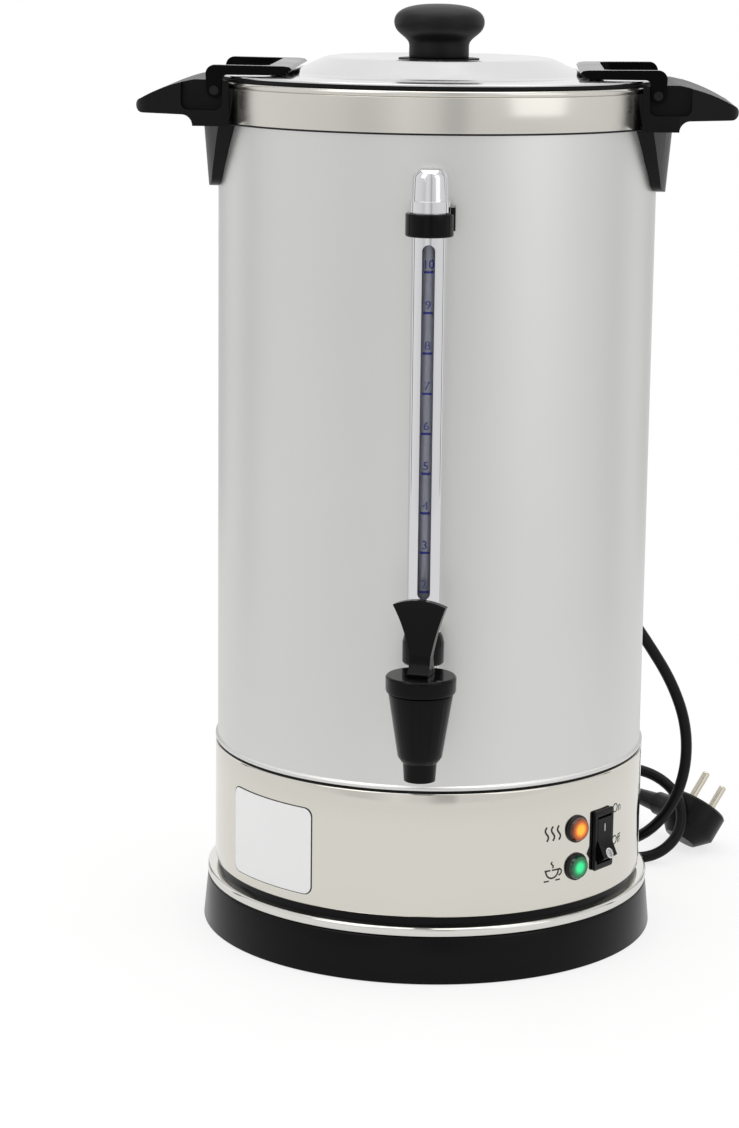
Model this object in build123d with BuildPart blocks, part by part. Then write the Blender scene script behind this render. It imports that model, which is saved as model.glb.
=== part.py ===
from build123d import *
import math
import os

# Coffee urn: millimetres, +Z up, origin on the tank's axis at the underside of the base,
# tap and level gauge towards -Y, handles along X.

os.makedirs("parts", exist_ok=True)

# ---------------------------------------------------------------- driving dimensions
# Tank
tank_r = 125.0
tank_wall = 0.8
tank_top = 492.6
skirt_z = 109.5
bead_out = 1.4
bead_r = tank_r + bead_out
bead_h = 3.2
floor_lift = 16.5
floor_z = skirt_z + floor_lift
floor_t = 1.2
floor_rise = 12.0
well_r = 34.0
well_depth = 9.0
well_slope = 5.0

# Rim band
rim_out = 3.7
rim_r = tank_r + rim_out
rim_over = 1.4
rim_h = 23.5
rim_high = tank_top + rim_over
rim_low = rim_high - rim_h
rim_bead_h = 3.1
rim_groove = 0.6
rim_fit = 0.05

# Base, trim ring and lower housing
housing_out = 1.3
housing_r = tank_r + housing_out
housing_wall = 1.0
housing_lip = 3.1
housing_flange = 5.3
base_step = 4.3
base_flare = 2.6
base_top_r = housing_r + base_step
base_bottom_r = base_top_r + base_flare
base_h = 26.6
base_wall = 3.0
plate_t = 3.0
plate_gap = 0.8
boss_r = 6.0
boss_inset = 7.5
base_screw_r = 1.75
base_screw_head_r = 3.8
base_screw_len = 14.0
trim_h = 5.5
trim_out = 4.6
trim_r = housing_r + trim_out
groove_h = 4.7
spigot_gap = 0.3
spigot_r = housing_r - housing_wall - spigot_gap
boss_circle_r = spigot_r - boss_inset
spigot_wall = 3.5
spigot_step = 2.0
spigot_top = 46.0
seal_h = 0.9
pillar_r = 5.0
pillar_inset = 29.0
pillar_circle_r = tank_r - pillar_inset

# Lid
lid_inset = 0.7
lid_r = rim_r - lid_inset
lid_t = 1.2
gasket_h = 2.0
gasket_skirt = 5.0
gasket_wall = 1.2
gasket_gap = 0.4
gasket_in_r = tank_r - tank_wall - gasket_gap - gasket_wall
lid_land = 43.0
lid_slope = 21.5
lid_crown = 7.5
lid_foot_r = lid_r - lid_land
lid_top_r = lid_foot_r - lid_slope
lid_rise = 9.8
lid_dish = 1.6
lid_dish_r = lid_top_r - lid_crown
lid_dish_slope = 14.0

# Knob
knob_r = 25.7
knob_neck_r = 17.0
knob_pad_r = 23.0
knob_pad_t = 0.8
knob_neck_h = 9.0
knob_widest_h = 20.0
knob_h = 30.3
knob_screw_r = 3.0
knob_screw_grip = 14.0

# Lid clamps: pivot line and the bail
pivot_inset = 3.0
pivot_x = tank_r - pivot_inset
pivot_drop = 4.5
pivot_z = rim_high - pivot_drop
bail_half = 62.4
arm_w = 5.8
arm_rise = 3.9
arm_under = rim_high + arm_rise
arm_t = 5.0
bail_reach = 43.0
bail_nose_x = pivot_x - bail_reach
bail_plate_w = 13.5
bail_back = 4.8
eye_r = 4.2
pin_r = 1.6
run_fit = 0.05
side_gap = 0.3
knuckle_w = 7.0
pocket_r = 18.5
pocket_drop = 10.8

# Handles
wing_root = 13.0
wing_in_x = tank_r - wing_root
wing_fillet = 6.0
wing_reach = 42.5
wing_tip_x = tank_r + wing_reach
wing_over = 1.0
wing_h = 19.0
wing_tip_h = 4.5
wing_top = rim_high + wing_over
wing_low = wing_top - wing_h
wing_tip_z = wing_low + wing_tip_h
wing_root_half = 66.0
wing_tip_half = 47.0
apron_drop = 43.7
apron_step = 4.5
apron_low = wing_low - apron_drop
apron_high = wing_top - apron_step
apron_low_t = 5.2
apron_high_t = 5.1
apron_low_r = tank_r + apron_low_t
apron_high_r = rim_r + apron_high_t
apron_half = 66.0
apron_waist_half = 46.0
apron_waist_h = 19.7
apron_waist_z = apron_low + apron_waist_h
handle_fit = 0.05
handle_screw_y = 24.0
handle_screw_h = 25.7
handle_screw_z = apron_low + handle_screw_h
m5_r = 2.5
m5_clear = 0.1
m5_head_r = 4.6
m5_head_t = 2.6

# Level gauge
gauge_out = 16.0
gauge_y = -tank_r - gauge_out
glass_r = 5.2
glass_bore_r = 3.9
glass_foot = 20.0
glass_over = 15.0
shield_r = 9.4
shield_wall = 0.9
shield_foot = 45.0
shield_slot_w = 6.9
slot_foot = 19.0
slot_drop = 3.8
bracket_drop = 74.0
bracket_h = 12.4
bracket_low = tank_top - bracket_drop
bracket_high = bracket_low + bracket_h
glass_high = bracket_high + glass_over
shield_slot_high = bracket_low - slot_drop
bracket_r = 12.9
bracket_arm_half = 9.0
cap_r = 9.7
cap_h = 23.2
cap_top = bracket_high + cap_h
cap_crown_r = 6.9
cap_ring_r = 10.8
cap_ring_h = 6.0
cap_bore_r = 6.4
cap_ridges = 24
gauge_nut_r = 11.4
gauge_nut_foot = 27.0
seal_t = 4.0

# Tap
tap_out = 50.0
tap_y = -tank_r - tap_out
shank_z = 160.0
glass_low = shank_z + glass_foot
shield_low = shank_z + shield_foot
shield_slot_low = shield_low + slot_foot
gauge_nut_low = shank_z + gauge_nut_foot
shank_r = 8.0
shank_bore_r = 5.0
shank_inside = 15.0
shank_outside = 35.0
shank_in_y = -tank_r + shank_inside
shank_out_y = -tank_r - shank_outside
socket_r = 9.0
nut_r = 13.0
nut_t = 6.0
washer_t = 1.6
body_top_r = 17.4
body_rise = 18.5
body_top = shank_z + body_rise
body_low_r = 12.0
body_drop = 15.0
body_low = shank_z - body_drop
body_arm_out = 26.0
body_arm_r = 11.0
body_bore_out = 20.0
outlet_r = 9.2
outlet_low_r = 8.5
outlet_len = 14.4
outlet_low = body_low - outlet_len
outlet_bore_r = 6.4
chamber_r = 11.5
seat_drop = 10.0
seat_z = shank_z - seat_drop
thread_r = 16.4
thread_h = 6.0
thread_top = body_top + thread_h
bonnet_r = 19.0
bonnet_over = 4.1
bonnet_top = thread_top + bonnet_over
bonnet_skirt = 9.2
bonnet_t = 2.2
lever_turn = 14.0
lever_h = 42.0
lever_top = bonnet_top + lever_h
lever_half = 14.6
lever_neck_half = 5.8
lever_lean = 5.0
lever_t = 4.4
foot_half = 7.0
pin_lift = 3.5
stem_r = 2.0
stem_tongue_t = 3.0
lever_pin_r = 1.2
cup_r = 8.6
cup_t = 7.0
spring_r = 4.6
spring_wire = 0.9
spring_turns = 5

# Controls, placed on the lower housing
lamp_turn = 43.5
lamp_high_z = 80.5
lamp_low_z = 58.3
lamp_r = 7.6
lamp_stem_r = 6.2
lamp_dome = 3.4
lamp_depth = 15.0
switch_turn = 53.6
switch_z = 70.2
switch_w = 18.4
switch_h = 35.0
switch_flange_t = 2.0
switch_body_w = 16.4
switch_body_h = 31.0
switch_depth = 20.0
switch_wall = 1.4
rocker_r = 14.0
rocker_pivot = 3.0
rocker_tilt = 13.0
rocker_face = 2.2
hole_gap = 0.3

# Percolator insert
pump_r = 30.0
pump_h = 20.0
tube_r = 4.8
tube_bore_r = 3.9
tube_hang = 18.6
tube_top = tank_top - tube_hang
basket_r = 82.0
basket_hang = 100.6
basket_low = tank_top - basket_hang
basket_h = 62.0
basket_wall = 1.0
basket_sleeve_gap = 0.3
spreader_h = 9.0
perforation_r = 1.8

# Heating
element_r = 4.0
element_circle_r = 54.0
element_leg = 24.0
puck_r = 31.0
puck_t = 6.5
stud_r = 4.0
stud_len = 22.0

# Mains lead
cord_r = 3.5
gland_turn = 140.0
gland_z = 58.0
gland_flange_t = 2.0
gland_len = 22.0
coil_mid_r = 38.5
coil_layers = 3
coil_at = (-32.0, 184.0)
plug_at = (168.0, 144.0, 19.9)
plug_out = (0.5, 0.38, 0.78)
plug_neck = (-0.62068, 0.7839, 0.01597)
plug_r = 18.5
plug_rim = 9.0
plug_back = 17.0
plug_back_r = 10.5
neck_r = 7.6
sleeve_start = 34.0
sleeve_end = 62.0
sleeve_tip_r = 4.4
pin_len = 19.0
pin_gap = 19.0
plug_pin_r = 2.4


# ---------------------------------------------------------------- helpers
def save(piece, name):
    """Label a finished piece and write its STEP file."""
    piece.part.label = name
    export_step(piece.part, f"parts/{name}.step")


def turned(profile, axis=Axis.Z, plane=Plane.XZ, mode=Mode.ADD):
    """Revolve a closed radius-height outline about an upright axis."""
    with BuildSketch(plane) as outline:
        with BuildLine():
            Polyline(*profile, close=True)
        make_face()
    revolve(outline.sketch, axis=axis, mode=mode)


def ring(inner, outer, low, high, mode=Mode.ADD):
    """Flat ring on the tank's axis."""
    turned([(inner, low), (outer, low), (outer, high), (inner, high)], mode=mode)


def around(radius, turn, z):
    """Plane on a cylinder of this radius: x along the wall, y up, z outwards."""
    a = math.radians(turn)
    out = Vector(math.sin(a), -math.cos(a), 0)
    along = Vector(math.cos(a), math.sin(a), 0)
    return Plane(origin=out * radius + Vector(0, 0, z), x_dir=along, z_dir=out)


def peg(plane, radius, start, end, mode=Mode.ADD):
    """Round bar along a plane's normal, from start to end above the plane."""
    with BuildSketch(plane.offset(start)) as disc:
        Circle(radius)
    extrude(disc.sketch, amount=end - start, mode=mode)


# ---------------------------------------------------------------- base
ledge_z = base_h + trim_h + groove_h
boss_turns = [45, 135, 225, 315]
pillar_turns = [15, 135, 255]

with BuildPart() as base_ring:
    turned([
        (base_bottom_r, 0),
        (base_top_r, base_h),
        (spigot_r, base_h),
        (spigot_r, ledge_z),
        (spigot_r - spigot_step, ledge_z),
        (spigot_r - spigot_step, spigot_top),
        (spigot_r - spigot_wall, spigot_top),
        (spigot_r - spigot_wall, base_h - base_wall),
        (base_top_r - base_wall, base_h - base_wall),
        (base_bottom_r - base_wall, 0),
    ])
    for turn in boss_turns:
        with BuildSketch(Plane.XY.offset(plate_t)):
            with Locations(Plane.XY.rotated((0, 0, turn)).location):
                with Locations((boss_circle_r, 0)):
                    Circle(boss_r)
        extrude(amount=base_h - plate_t - 1)
    with PolarLocations(boss_circle_r, len(boss_turns), boss_turns[0]):
        Cylinder(1.8, 2 * (base_h - 6), mode=Mode.SUBTRACT)
    fillet(base_ring.edges().filter_by(GeomType.CIRCLE).group_by(Axis.Z)[-1], 0.4)
save(base_ring, "base_ring")

plate_r = base_bottom_r - base_wall - plate_gap
vent_len = 22.0
vent_w = 3.2
vent_r = 66.0
vent_count = 16
with BuildPart() as base_plate:
    Cylinder(plate_r, plate_t, align=(Align.CENTER, Align.CENTER, Align.MIN))
    with PolarLocations(vent_r, vent_count):
        Box(vent_len, vent_w, 4 * plate_t, mode=Mode.SUBTRACT)
    for turns, radius in ((boss_turns, boss_circle_r), (pillar_turns, pillar_circle_r)):
        with PolarLocations(radius, len(turns), turns[0]):
            Cylinder(2.1, 4 * plate_t, mode=Mode.SUBTRACT)
            Cylinder(4.2, 2 * (plate_t - 1), mode=Mode.SUBTRACT)
save(base_plate, "base_plate")

head_t = 1.4
with BuildPart() as base_screws:
    for turns, radius in ((boss_turns, boss_circle_r), (pillar_turns, pillar_circle_r)):
        for turn in turns:
            spot = Plane.XY.rotated((0, 0, turn)).offset(plate_t - 1 - head_t)
            with BuildSketch(spot):
                with Locations((radius, 0)):
                    Circle(base_screw_head_r)
            extrude(amount=head_t)
            with BuildSketch(spot):
                with Locations((radius, 0)):
                    Circle(base_screw_r)
            extrude(amount=base_screw_len)
save(base_screws, "base_screws")

with BuildPart() as trim_ring:
    ring(spigot_r + run_fit, trim_r, base_h, base_h + trim_h)
    fillet(trim_ring.edges().group_by(SortBy.LENGTH)[-1], 1.6)
save(trim_ring, "trim_ring")

# ---------------------------------------------------------------- lower housing
housing_top = skirt_z - seal_h
housing_in = housing_r - housing_wall
lamp_planes = {
    "amber": around(housing_r, lamp_turn, lamp_high_z),
    "green": around(housing_r, lamp_turn, lamp_low_z),
}
switch_plane = around(housing_r + run_fit, switch_turn, switch_z)
gland_plane = around(housing_r + run_fit, gland_turn, gland_z)
gland_hole_r = 7.2

with BuildPart() as housing_band:
    turned([
        (housing_r - housing_lip, ledge_z),
        (housing_r - housing_wall, ledge_z),
        (housing_r, ledge_z + housing_wall),
        (housing_r, housing_top - housing_wall),
        (housing_r - housing_wall, housing_top),
        (housing_r - housing_flange, housing_top),
        (housing_r - housing_flange, housing_top - housing_wall),
        (housing_in, housing_top - housing_wall),
        (housing_in, ledge_z + housing_wall),
        (housing_r - housing_lip, ledge_z + housing_wall),
    ])
    for spot in lamp_planes.values():
        peg(spot, lamp_stem_r + hole_gap, -8, 4, mode=Mode.SUBTRACT)
    with BuildSketch(switch_plane.offset(-8)):
        Rectangle(switch_body_w + 2 * hole_gap, switch_body_h + 2 * hole_gap)
    extrude(amount=12, mode=Mode.SUBTRACT)
    peg(gland_plane, gland_hole_r + hole_gap, -8, 4, mode=Mode.SUBTRACT)
save(housing_band, "housing_band")

with BuildPart() as housing_seal:
    ring(housing_r - housing_flange, housing_r - 0.5, housing_top, skirt_z)
save(housing_seal, "housing_seal")

under_floor = floor_z - floor_t
with BuildPart() as pillars:
    for turn in pillar_turns:
        spot = Plane.XY.rotated((0, 0, turn))
        with BuildSketch(spot.offset(plate_t)):
            with Locations((pillar_circle_r, 0)):
                RegularPolygon(pillar_r, 6)
        extrude(amount=under_floor - plate_t)
    with PolarLocations(pillar_circle_r, len(pillar_turns), pillar_turns[0]):
        Cylinder(1.8, 2 * 18, mode=Mode.SUBTRACT)
save(pillars, "base_pillars")

# ---------------------------------------------------------------- tank
tank_in = tank_r - tank_wall
with BuildPart() as tank:
    turned([
        (tank_r - 3.5, skirt_z),
        (tank_r, skirt_z),
        (bead_r, skirt_z + bead_h / 4),
        (bead_r, skirt_z + bead_h * 3 / 4),
        (tank_r, skirt_z + bead_h),
        (tank_r, tank_top),
        (tank_in, tank_top),
        (tank_in, skirt_z + tank_wall),
        (tank_r - 3.5, skirt_z + tank_wall),
    ])
    turned([
        (0, floor_z - well_depth),
        (well_r, floor_z - well_depth),
        (well_r + well_slope, floor_z),
        (tank_in - floor_rise, floor_z),
        (tank_in - floor_rise / 4, floor_z + floor_rise / 3),
        (tank_in + tank_wall / 2, floor_z + floor_rise),
        (tank_in + tank_wall / 2, floor_z + floor_rise - 2 * floor_t),
        (tank_in - floor_rise / 4 + floor_t, floor_z + floor_rise / 3 - floor_t),
        (tank_in - floor_rise, floor_z - floor_t),
        (well_r + well_slope + floor_t, floor_z - floor_t),
        (well_r + floor_t, floor_z - floor_t - well_depth),
        (0, floor_z - floor_t - well_depth),
    ])
    peg(around(tank_r, 0, shank_z), shank_r + hole_gap, -6, 4, mode=Mode.SUBTRACT)
    peg(around(tank_r, 0, (bracket_low + bracket_high) / 2), 2.2, -6, 4, mode=Mode.SUBTRACT)
    for side in (90, 270):
        for y in (-handle_screw_y, handle_screw_y):
            spot = around(tank_r, side, handle_screw_z)
            with BuildSketch(spot.offset(-12)):
                with Locations((y, 0)):
                    Circle(m5_r + hole_gap)
            extrude(amount=16, mode=Mode.SUBTRACT)
save(tank, "tank")

with BuildPart() as rim_band:
    turned([
        (tank_r + rim_fit, rim_low),
        (rim_r - 0.5, rim_low),
        (rim_r - 0.2, rim_low + 0.5),
        (rim_r - 0.2, rim_high - rim_bead_h - rim_groove),
        (rim_r - 0.9, rim_high - rim_bead_h - rim_groove / 2),
        (rim_r - 0.3, rim_high - rim_bead_h),
        (rim_r, rim_high - rim_bead_h / 2),
        (rim_r - 0.5, rim_high - rim_bead_h / 6),
        (rim_r - 1.4, rim_high),
        (tank_in, rim_high),
        (tank_in, tank_top + rim_fit),
        (tank_r + rim_fit, tank_top + rim_fit),
    ])
save(rim_band, "rim_band")

# ---------------------------------------------------------------- lid, gasket and knob
flange_low = rim_high + gasket_h
flange_top = flange_low + lid_t
dome_z = flange_top + lid_rise

with BuildPart() as lid_gasket:
    turned([
        (gasket_in_r, rim_high - gasket_skirt),
        (gasket_in_r + gasket_wall, rim_high - gasket_skirt),
        (gasket_in_r + gasket_wall, rim_high),
        (lid_r - 0.5, rim_high),
        (lid_r - 0.5, flange_low),
        (gasket_in_r, flange_low),
    ])
save(lid_gasket, "lid_gasket")

with BuildPart() as lid:
    turned([
        (0, dome_z - lid_dish),
        (lid_dish_r - lid_dish_slope, dome_z - lid_dish),
        (lid_dish_r, dome_z),
        (lid_top_r, dome_z),
        (lid_foot_r, flange_top),
        (lid_r, flange_top),
        (lid_r, flange_low),
        (lid_foot_r - 0.3, flange_low),
        (lid_top_r - 0.3, dome_z - lid_t),
        (lid_dish_r, dome_z - lid_t),
        (lid_dish_r - lid_dish_slope, dome_z - lid_dish - lid_t),
        (0, dome_z - lid_dish - lid_t),
    ])
    circles = lid.edges().filter_by(GeomType.CIRCLE)
    soft = circles.filter_by(lambda e: abs(e.radius - lid_top_r) + abs(e.arc_center.Z - dome_z) < 0.01)
    soft += circles.filter_by(lambda e: abs(e.radius - lid_foot_r) + abs(e.arc_center.Z - flange_top) < 0.01)
    fillet(soft, 3.0)
    with Locations((0, 0, dome_z)):
        Cylinder(knob_screw_r + hole_gap, 20, mode=Mode.SUBTRACT)
save(lid, "lid")

pad_z = dome_z - lid_dish
with BuildPart() as knob_pad:
    ring(knob_screw_r + hole_gap, knob_pad_r, pad_z, pad_z + knob_pad_t)
save(knob_pad, "knob_pad")

knob_z = pad_z + knob_pad_t
with BuildPart() as knob:
    with BuildSketch(Plane.XZ):
        with BuildLine():
            Polyline((0, knob_z), (knob_neck_r, knob_z), (knob_neck_r, knob_z + knob_neck_h - 2))
            Spline((knob_neck_r, knob_z + knob_neck_h - 2),
                   (knob_r - 2.6, knob_z + knob_widest_h - 5),
                   (knob_r, knob_z + knob_widest_h),
                   tangents=((0, 1), (0, 1)))
            Spline((knob_r, knob_z + knob_widest_h),
                   (knob_r - 2.6, knob_z + knob_widest_h + 6),
                   (0, knob_z + knob_h),
                   tangents=((0, 1), (-1, 0)))
            Line((0, knob_z + knob_h), (0, knob_z))
        make_face()
    revolve(axis=Axis.Z)
    with Locations((0, 0, knob_z)):
        Cylinder(knob_screw_r + rim_fit, 2 * (knob_screw_grip + 1), mode=Mode.SUBTRACT)
save(knob, "knob")

screw_head_z = pad_z - lid_t
with BuildPart() as knob_screw:
    turned([
        (0, screw_head_z - 3),
        (5.2, screw_head_z - 3),
        (6.5, screw_head_z - 1.6),
        (6.5, screw_head_z),
        (knob_screw_r, screw_head_z),
        (knob_screw_r, knob_z + knob_screw_grip),
        (0, knob_z + knob_screw_grip),
    ])
save(knob_screw, "knob_screw")

# ---------------------------------------------------------------- handles
knuckle_out = bail_half - arm_w - side_gap
screw_reach = 2.6
wing_wall_r = (rim_r + apron_high_r) / 2


def wing_solid():
    """Grip wing of the right-hand handle: side profile pulled across, trimmed to its plan."""
    with BuildPart() as wing:
        with BuildSketch(Plane.XZ):
            with BuildLine():
                Polyline((wing_in_x, wing_top), (wing_in_x, wing_low - wing_fillet),
                         (apron_high_r, wing_low - wing_fillet))
                RadiusArc((apron_high_r, wing_low - wing_fillet),
                          (apron_high_r + wing_fillet, wing_low), wing_fillet)
                Line((apron_high_r + wing_fillet, wing_low), (wing_tip_x - 4, wing_low))
                ThreePointArc((wing_tip_x - 4, wing_low), (wing_tip_x, wing_tip_z),
                              (wing_tip_x - 3, wing_tip_z + 3.4))
                ThreePointArc((wing_tip_x - 3, wing_tip_z + 3.4),
                              ((wing_tip_x + apron_high_r) / 2, wing_top - 4.6),
                              (apron_high_r, wing_top))
                Line((apron_high_r, wing_top), (wing_in_x, wing_top))
            make_face()
        extrude(amount=wing_root_half + 4, both=True)
        with BuildSketch(Plane.XY.offset(wing_low - 2 * wing_fillet)):
            with BuildLine():
                Polyline((0, -wing_root_half), (apron_high_r, -wing_root_half),
                         (wing_tip_x + 1, -wing_tip_half), (wing_tip_x + 1, wing_tip_half),
                         (apron_high_r, wing_root_half), (0, wing_root_half), close=True)
            plan = make_face()
            fillet(plan.vertices().group_by(Axis.X)[-1], 16)
        extrude(amount=wing_top, mode=Mode.INTERSECT)
        with BuildSketch(Plane.XY.offset(wing_low - 2 * wing_fillet)):
            Circle(wing_wall_r)
        extrude(amount=wing_top, mode=Mode.SUBTRACT)
    return wing


def apron_solid():
    """Curved apron of the right-hand handle: a tapered shell cut to a shield outline."""
    with BuildPart() as apron:
        turned([
            (tank_r + handle_fit, apron_low - 5),
            (apron_low_r, apron_low - 5),
            (apron_low_r, apron_low),
            (apron_high_r, wing_low),
            (apron_high_r, wing_top),
            (rim_r + handle_fit, wing_top),
            (rim_r + handle_fit, rim_low - handle_fit),
            (tank_r + handle_fit, rim_low - handle_fit),
        ])
        with BuildSketch(Plane.YZ):
            with BuildLine():
                Polyline((0, apron_low), (apron_waist_half - 14, apron_low + 3),
                         (apron_waist_half, apron_waist_z), (apron_half - 4, wing_low),
                         (apron_half, apron_high), (knuckle_out + 1.6, apron_high),
                         (knuckle_out + 1.6, wing_top), (0, wing_top), close=True)
            half = make_face()
            fillet(half.vertices().sort_by(Axis.Y)[1:2], 14)
            mirror(about=Plane.YZ)
        extrude(amount=apron_high_r + 10, mode=Mode.INTERSECT)
    return apron


def handle_solid(wing, apron):
    """Right-hand handle with its pockets for the clamp arms, pin holes and screw holes."""
    with BuildPart() as grip:
        add(wing.part)
        add(apron.part)
        for end in (-1, 1):
            with BuildSketch(Plane.XZ.offset(-end * knuckle_out)):
                with BuildLine():
                    Polyline((pivot_x - eye_r - 0.6, wing_top + 5),
                             (pivot_x - eye_r - 0.6, pivot_z - pocket_drop),
                             (pivot_x + pocket_r, pivot_z - pocket_drop),
                             (pivot_x + pocket_r, wing_top + 5), close=True)
                pocket = make_face()
                fillet(pocket.vertices().sort_by(Axis.Y)[:2], 4)
            extrude(amount=-end * wing_root_half, mode=Mode.SUBTRACT)
            with BuildSketch(Plane.XZ.offset(-end * knuckle_out)):
                with Locations((pivot_x, pivot_z)):
                    Circle(pin_r + rim_fit)
            extrude(amount=end * knuckle_w, mode=Mode.SUBTRACT)
            with BuildSketch(Plane.YZ.offset(tank_r - 12)):
                with Locations((end * handle_screw_y, handle_screw_z)):
                    Circle(m5_r + m5_clear)
            extrude(amount=12 + screw_reach + 0.5, mode=Mode.SUBTRACT)
    return grip


def opposite(piece):
    """The same piece turned half a turn about the tank's axis."""
    with BuildPart() as turned_piece:
        add(Rotation(0, 0, 180) * piece.part)
    return turned_piece


handle_right = handle_solid(wing_solid(), apron_solid())
handle_left = opposite(handle_right)
save(handle_right, "handle_right")
save(handle_left, "handle_left")

handle_hole_x = math.sqrt(tank_in ** 2 - (handle_screw_y + 5) ** 2)
with BuildPart() as handle_screws:
    for side in (-1, 1):
        for y in (-handle_screw_y, handle_screw_y):
            seat = Plane(origin=(side * (handle_hole_x - 0.1), y, handle_screw_z), z_dir=(side, 0, 0))
            with BuildSketch(seat):
                Circle(m5_head_r)
            extrude(amount=-m5_head_t)
            with BuildSketch(seat):
                Circle(m5_r)
            extrude(amount=tank_r + screw_reach - handle_hole_x)
save(handle_screws, "handle_screws")

# ---------------------------------------------------------------- lid clamps
arm_top = arm_under + arm_t
nose_cut = 5.5


def clamp_solid():
    """Right-hand clamp: a bail whose plate presses the lid, hung on two arms."""
    with BuildPart() as bail:
        with BuildSketch(Plane.XZ):
            with BuildLine():
                Polyline((bail_nose_x + nose_cut, arm_under),
                         (bail_nose_x, arm_under + 3.2),
                         (bail_nose_x + 1.6, arm_top - 0.4),
                         (bail_nose_x + 5, arm_top),
                         (pivot_x + bail_back - 5, arm_top + 0.4))
                RadiusArc((pivot_x + bail_back - 5, arm_top + 0.4),
                          (pivot_x + bail_back, arm_top - 4.6), 5)
                Line((pivot_x + bail_back, arm_top - 4.6), (pivot_x + eye_r, pivot_z))
                ThreePointArc((pivot_x + eye_r, pivot_z), (pivot_x, pivot_z - eye_r),
                              (pivot_x - eye_r, pivot_z))
                Line((pivot_x - eye_r, pivot_z), (pivot_x - eye_r, arm_under - 3))
                RadiusArc((pivot_x - eye_r, arm_under - 3), (pivot_x - eye_r - 3, arm_under), -3)
                Line((pivot_x - eye_r - 3, arm_under), (bail_nose_x + nose_cut, arm_under))
            make_face()
        extrude(amount=bail_half, both=True)
        with BuildSketch(Plane.XY.offset(pivot_z - 2 * eye_r)):
            with BuildLine():
                Polyline((pivot_x + 20, bail_half - arm_w), (bail_nose_x + bail_plate_w, bail_half - arm_w),
                         (bail_nose_x + bail_plate_w, arm_w - bail_half), (pivot_x + 20, arm_w - bail_half),
                         close=True)
            window = make_face()
            fillet(window.vertices().group_by(Axis.X)[0], 7)
        extrude(amount=4 * arm_t + 10, mode=Mode.SUBTRACT)
        with BuildSketch(Plane.XZ):
            with Locations((pivot_x, pivot_z)):
                Circle(pin_r + run_fit)
        extrude(amount=bail_half + 5, both=True, mode=Mode.SUBTRACT)

    return bail


clamp_right = clamp_solid()
clamp_left = opposite(clamp_right)
save(clamp_right, "clamp_right")
save(clamp_left, "clamp_left")

pin_in = knuckle_out - knuckle_w
with BuildPart() as clamp_pins:
    for side in (-1, 1):
        for end in (-1, 1):
            axle = Plane(origin=(side * pivot_x, end * pin_in, pivot_z), z_dir=(0, end, 0))
            with BuildSketch(axle):
                Circle(pin_r)
            extrude(amount=bail_half + side_gap - pin_in)
            with BuildSketch(axle.offset(bail_half + side_gap - pin_in)):
                Circle(pin_r + 0.9)
            extrude(amount=0.9)
save(clamp_pins, "clamp_pins")

# ---------------------------------------------------------------- level gauge
gauge_axis = Axis((0, gauge_y, 0), (0, 0, 1))
gauge_plane = Plane.XZ.offset(-gauge_y)
shield_bore_r = shield_r - shield_wall
with BuildPart() as gauge_glass:
    turned([
        (glass_bore_r, glass_low), (glass_r, glass_low), (glass_r, glass_high), (glass_bore_r, glass_high),
    ], axis=gauge_axis, plane=gauge_plane)
save(gauge_glass, "gauge_glass")

cap_low = bracket_high + 0.4
shield_high = cap_low + cap_ring_h - 1.0

with BuildPart() as gauge_shield:
    turned([
        (shield_bore_r, shield_low), (shield_r, shield_low), (shield_r, shield_high),
        (shield_bore_r, shield_high),
    ], axis=gauge_axis, plane=gauge_plane)
    with BuildSketch(Plane.XZ.offset(-gauge_y)):
        with Locations((0, (shield_slot_low + shield_slot_high) / 2)):
            SlotOverall(shield_slot_high - shield_slot_low, shield_slot_w, rotation=90)
    extrude(amount=shield_r + 5, mode=Mode.SUBTRACT)
save(gauge_shield, "gauge_shield")

bracket_mid = (bracket_low + bracket_high) / 2
lug_t = 2.6
bracket_screw_end = tank_r + 5.0
with BuildPart() as gauge_bracket:
    with BuildSketch(Plane.XY.offset(bracket_low)):
        with Locations((0, gauge_y)):
            Circle(bracket_r)
        with Locations((0, (gauge_y - tank_r) / 2)):
            Rectangle(2 * bracket_arm_half, -gauge_y - tank_r + 2)
    extrude(amount=bracket_high - bracket_low)
    fillet(gauge_bracket.edges().filter_by(GeomType.CIRCLE), 1.0)
    with BuildSketch(Plane.XY.offset(bracket_low + 3)):
        with Locations((bracket_r + 0.8 - lug_t / 2, gauge_y + 5)):
            RectangleRounded(lug_t, 12, 1.2)
    extrude(amount=bracket_high - bracket_low)
    with BuildSketch(Plane.XY.offset(bracket_low - 1)):
        Circle(tank_r + handle_fit)
        with Locations((0, gauge_y)):
            Circle(shield_r + handle_fit)
    extrude(amount=20, mode=Mode.SUBTRACT)
    with BuildSketch(Plane.XZ.offset(tank_r - 5)):
        with Locations((0, bracket_mid)):
            Circle(1.7)
    extrude(amount=bracket_screw_end - tank_r + 5.4, mode=Mode.SUBTRACT)
save(gauge_bracket, "gauge_bracket")

with BuildPart() as gauge_screw:
    with BuildSketch(Plane.XZ.offset(tank_in - 0.2)):
        with Locations((0, bracket_mid)):
            Circle(4)
    extrude(amount=-2.2)
    with BuildSketch(Plane.XZ.offset(tank_in - 0.2)):
        with Locations((0, bracket_mid)):
            Circle(1.65)
    extrude(amount=bracket_screw_end - tank_in + 0.2)
save(gauge_screw, "gauge_screw")

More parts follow.
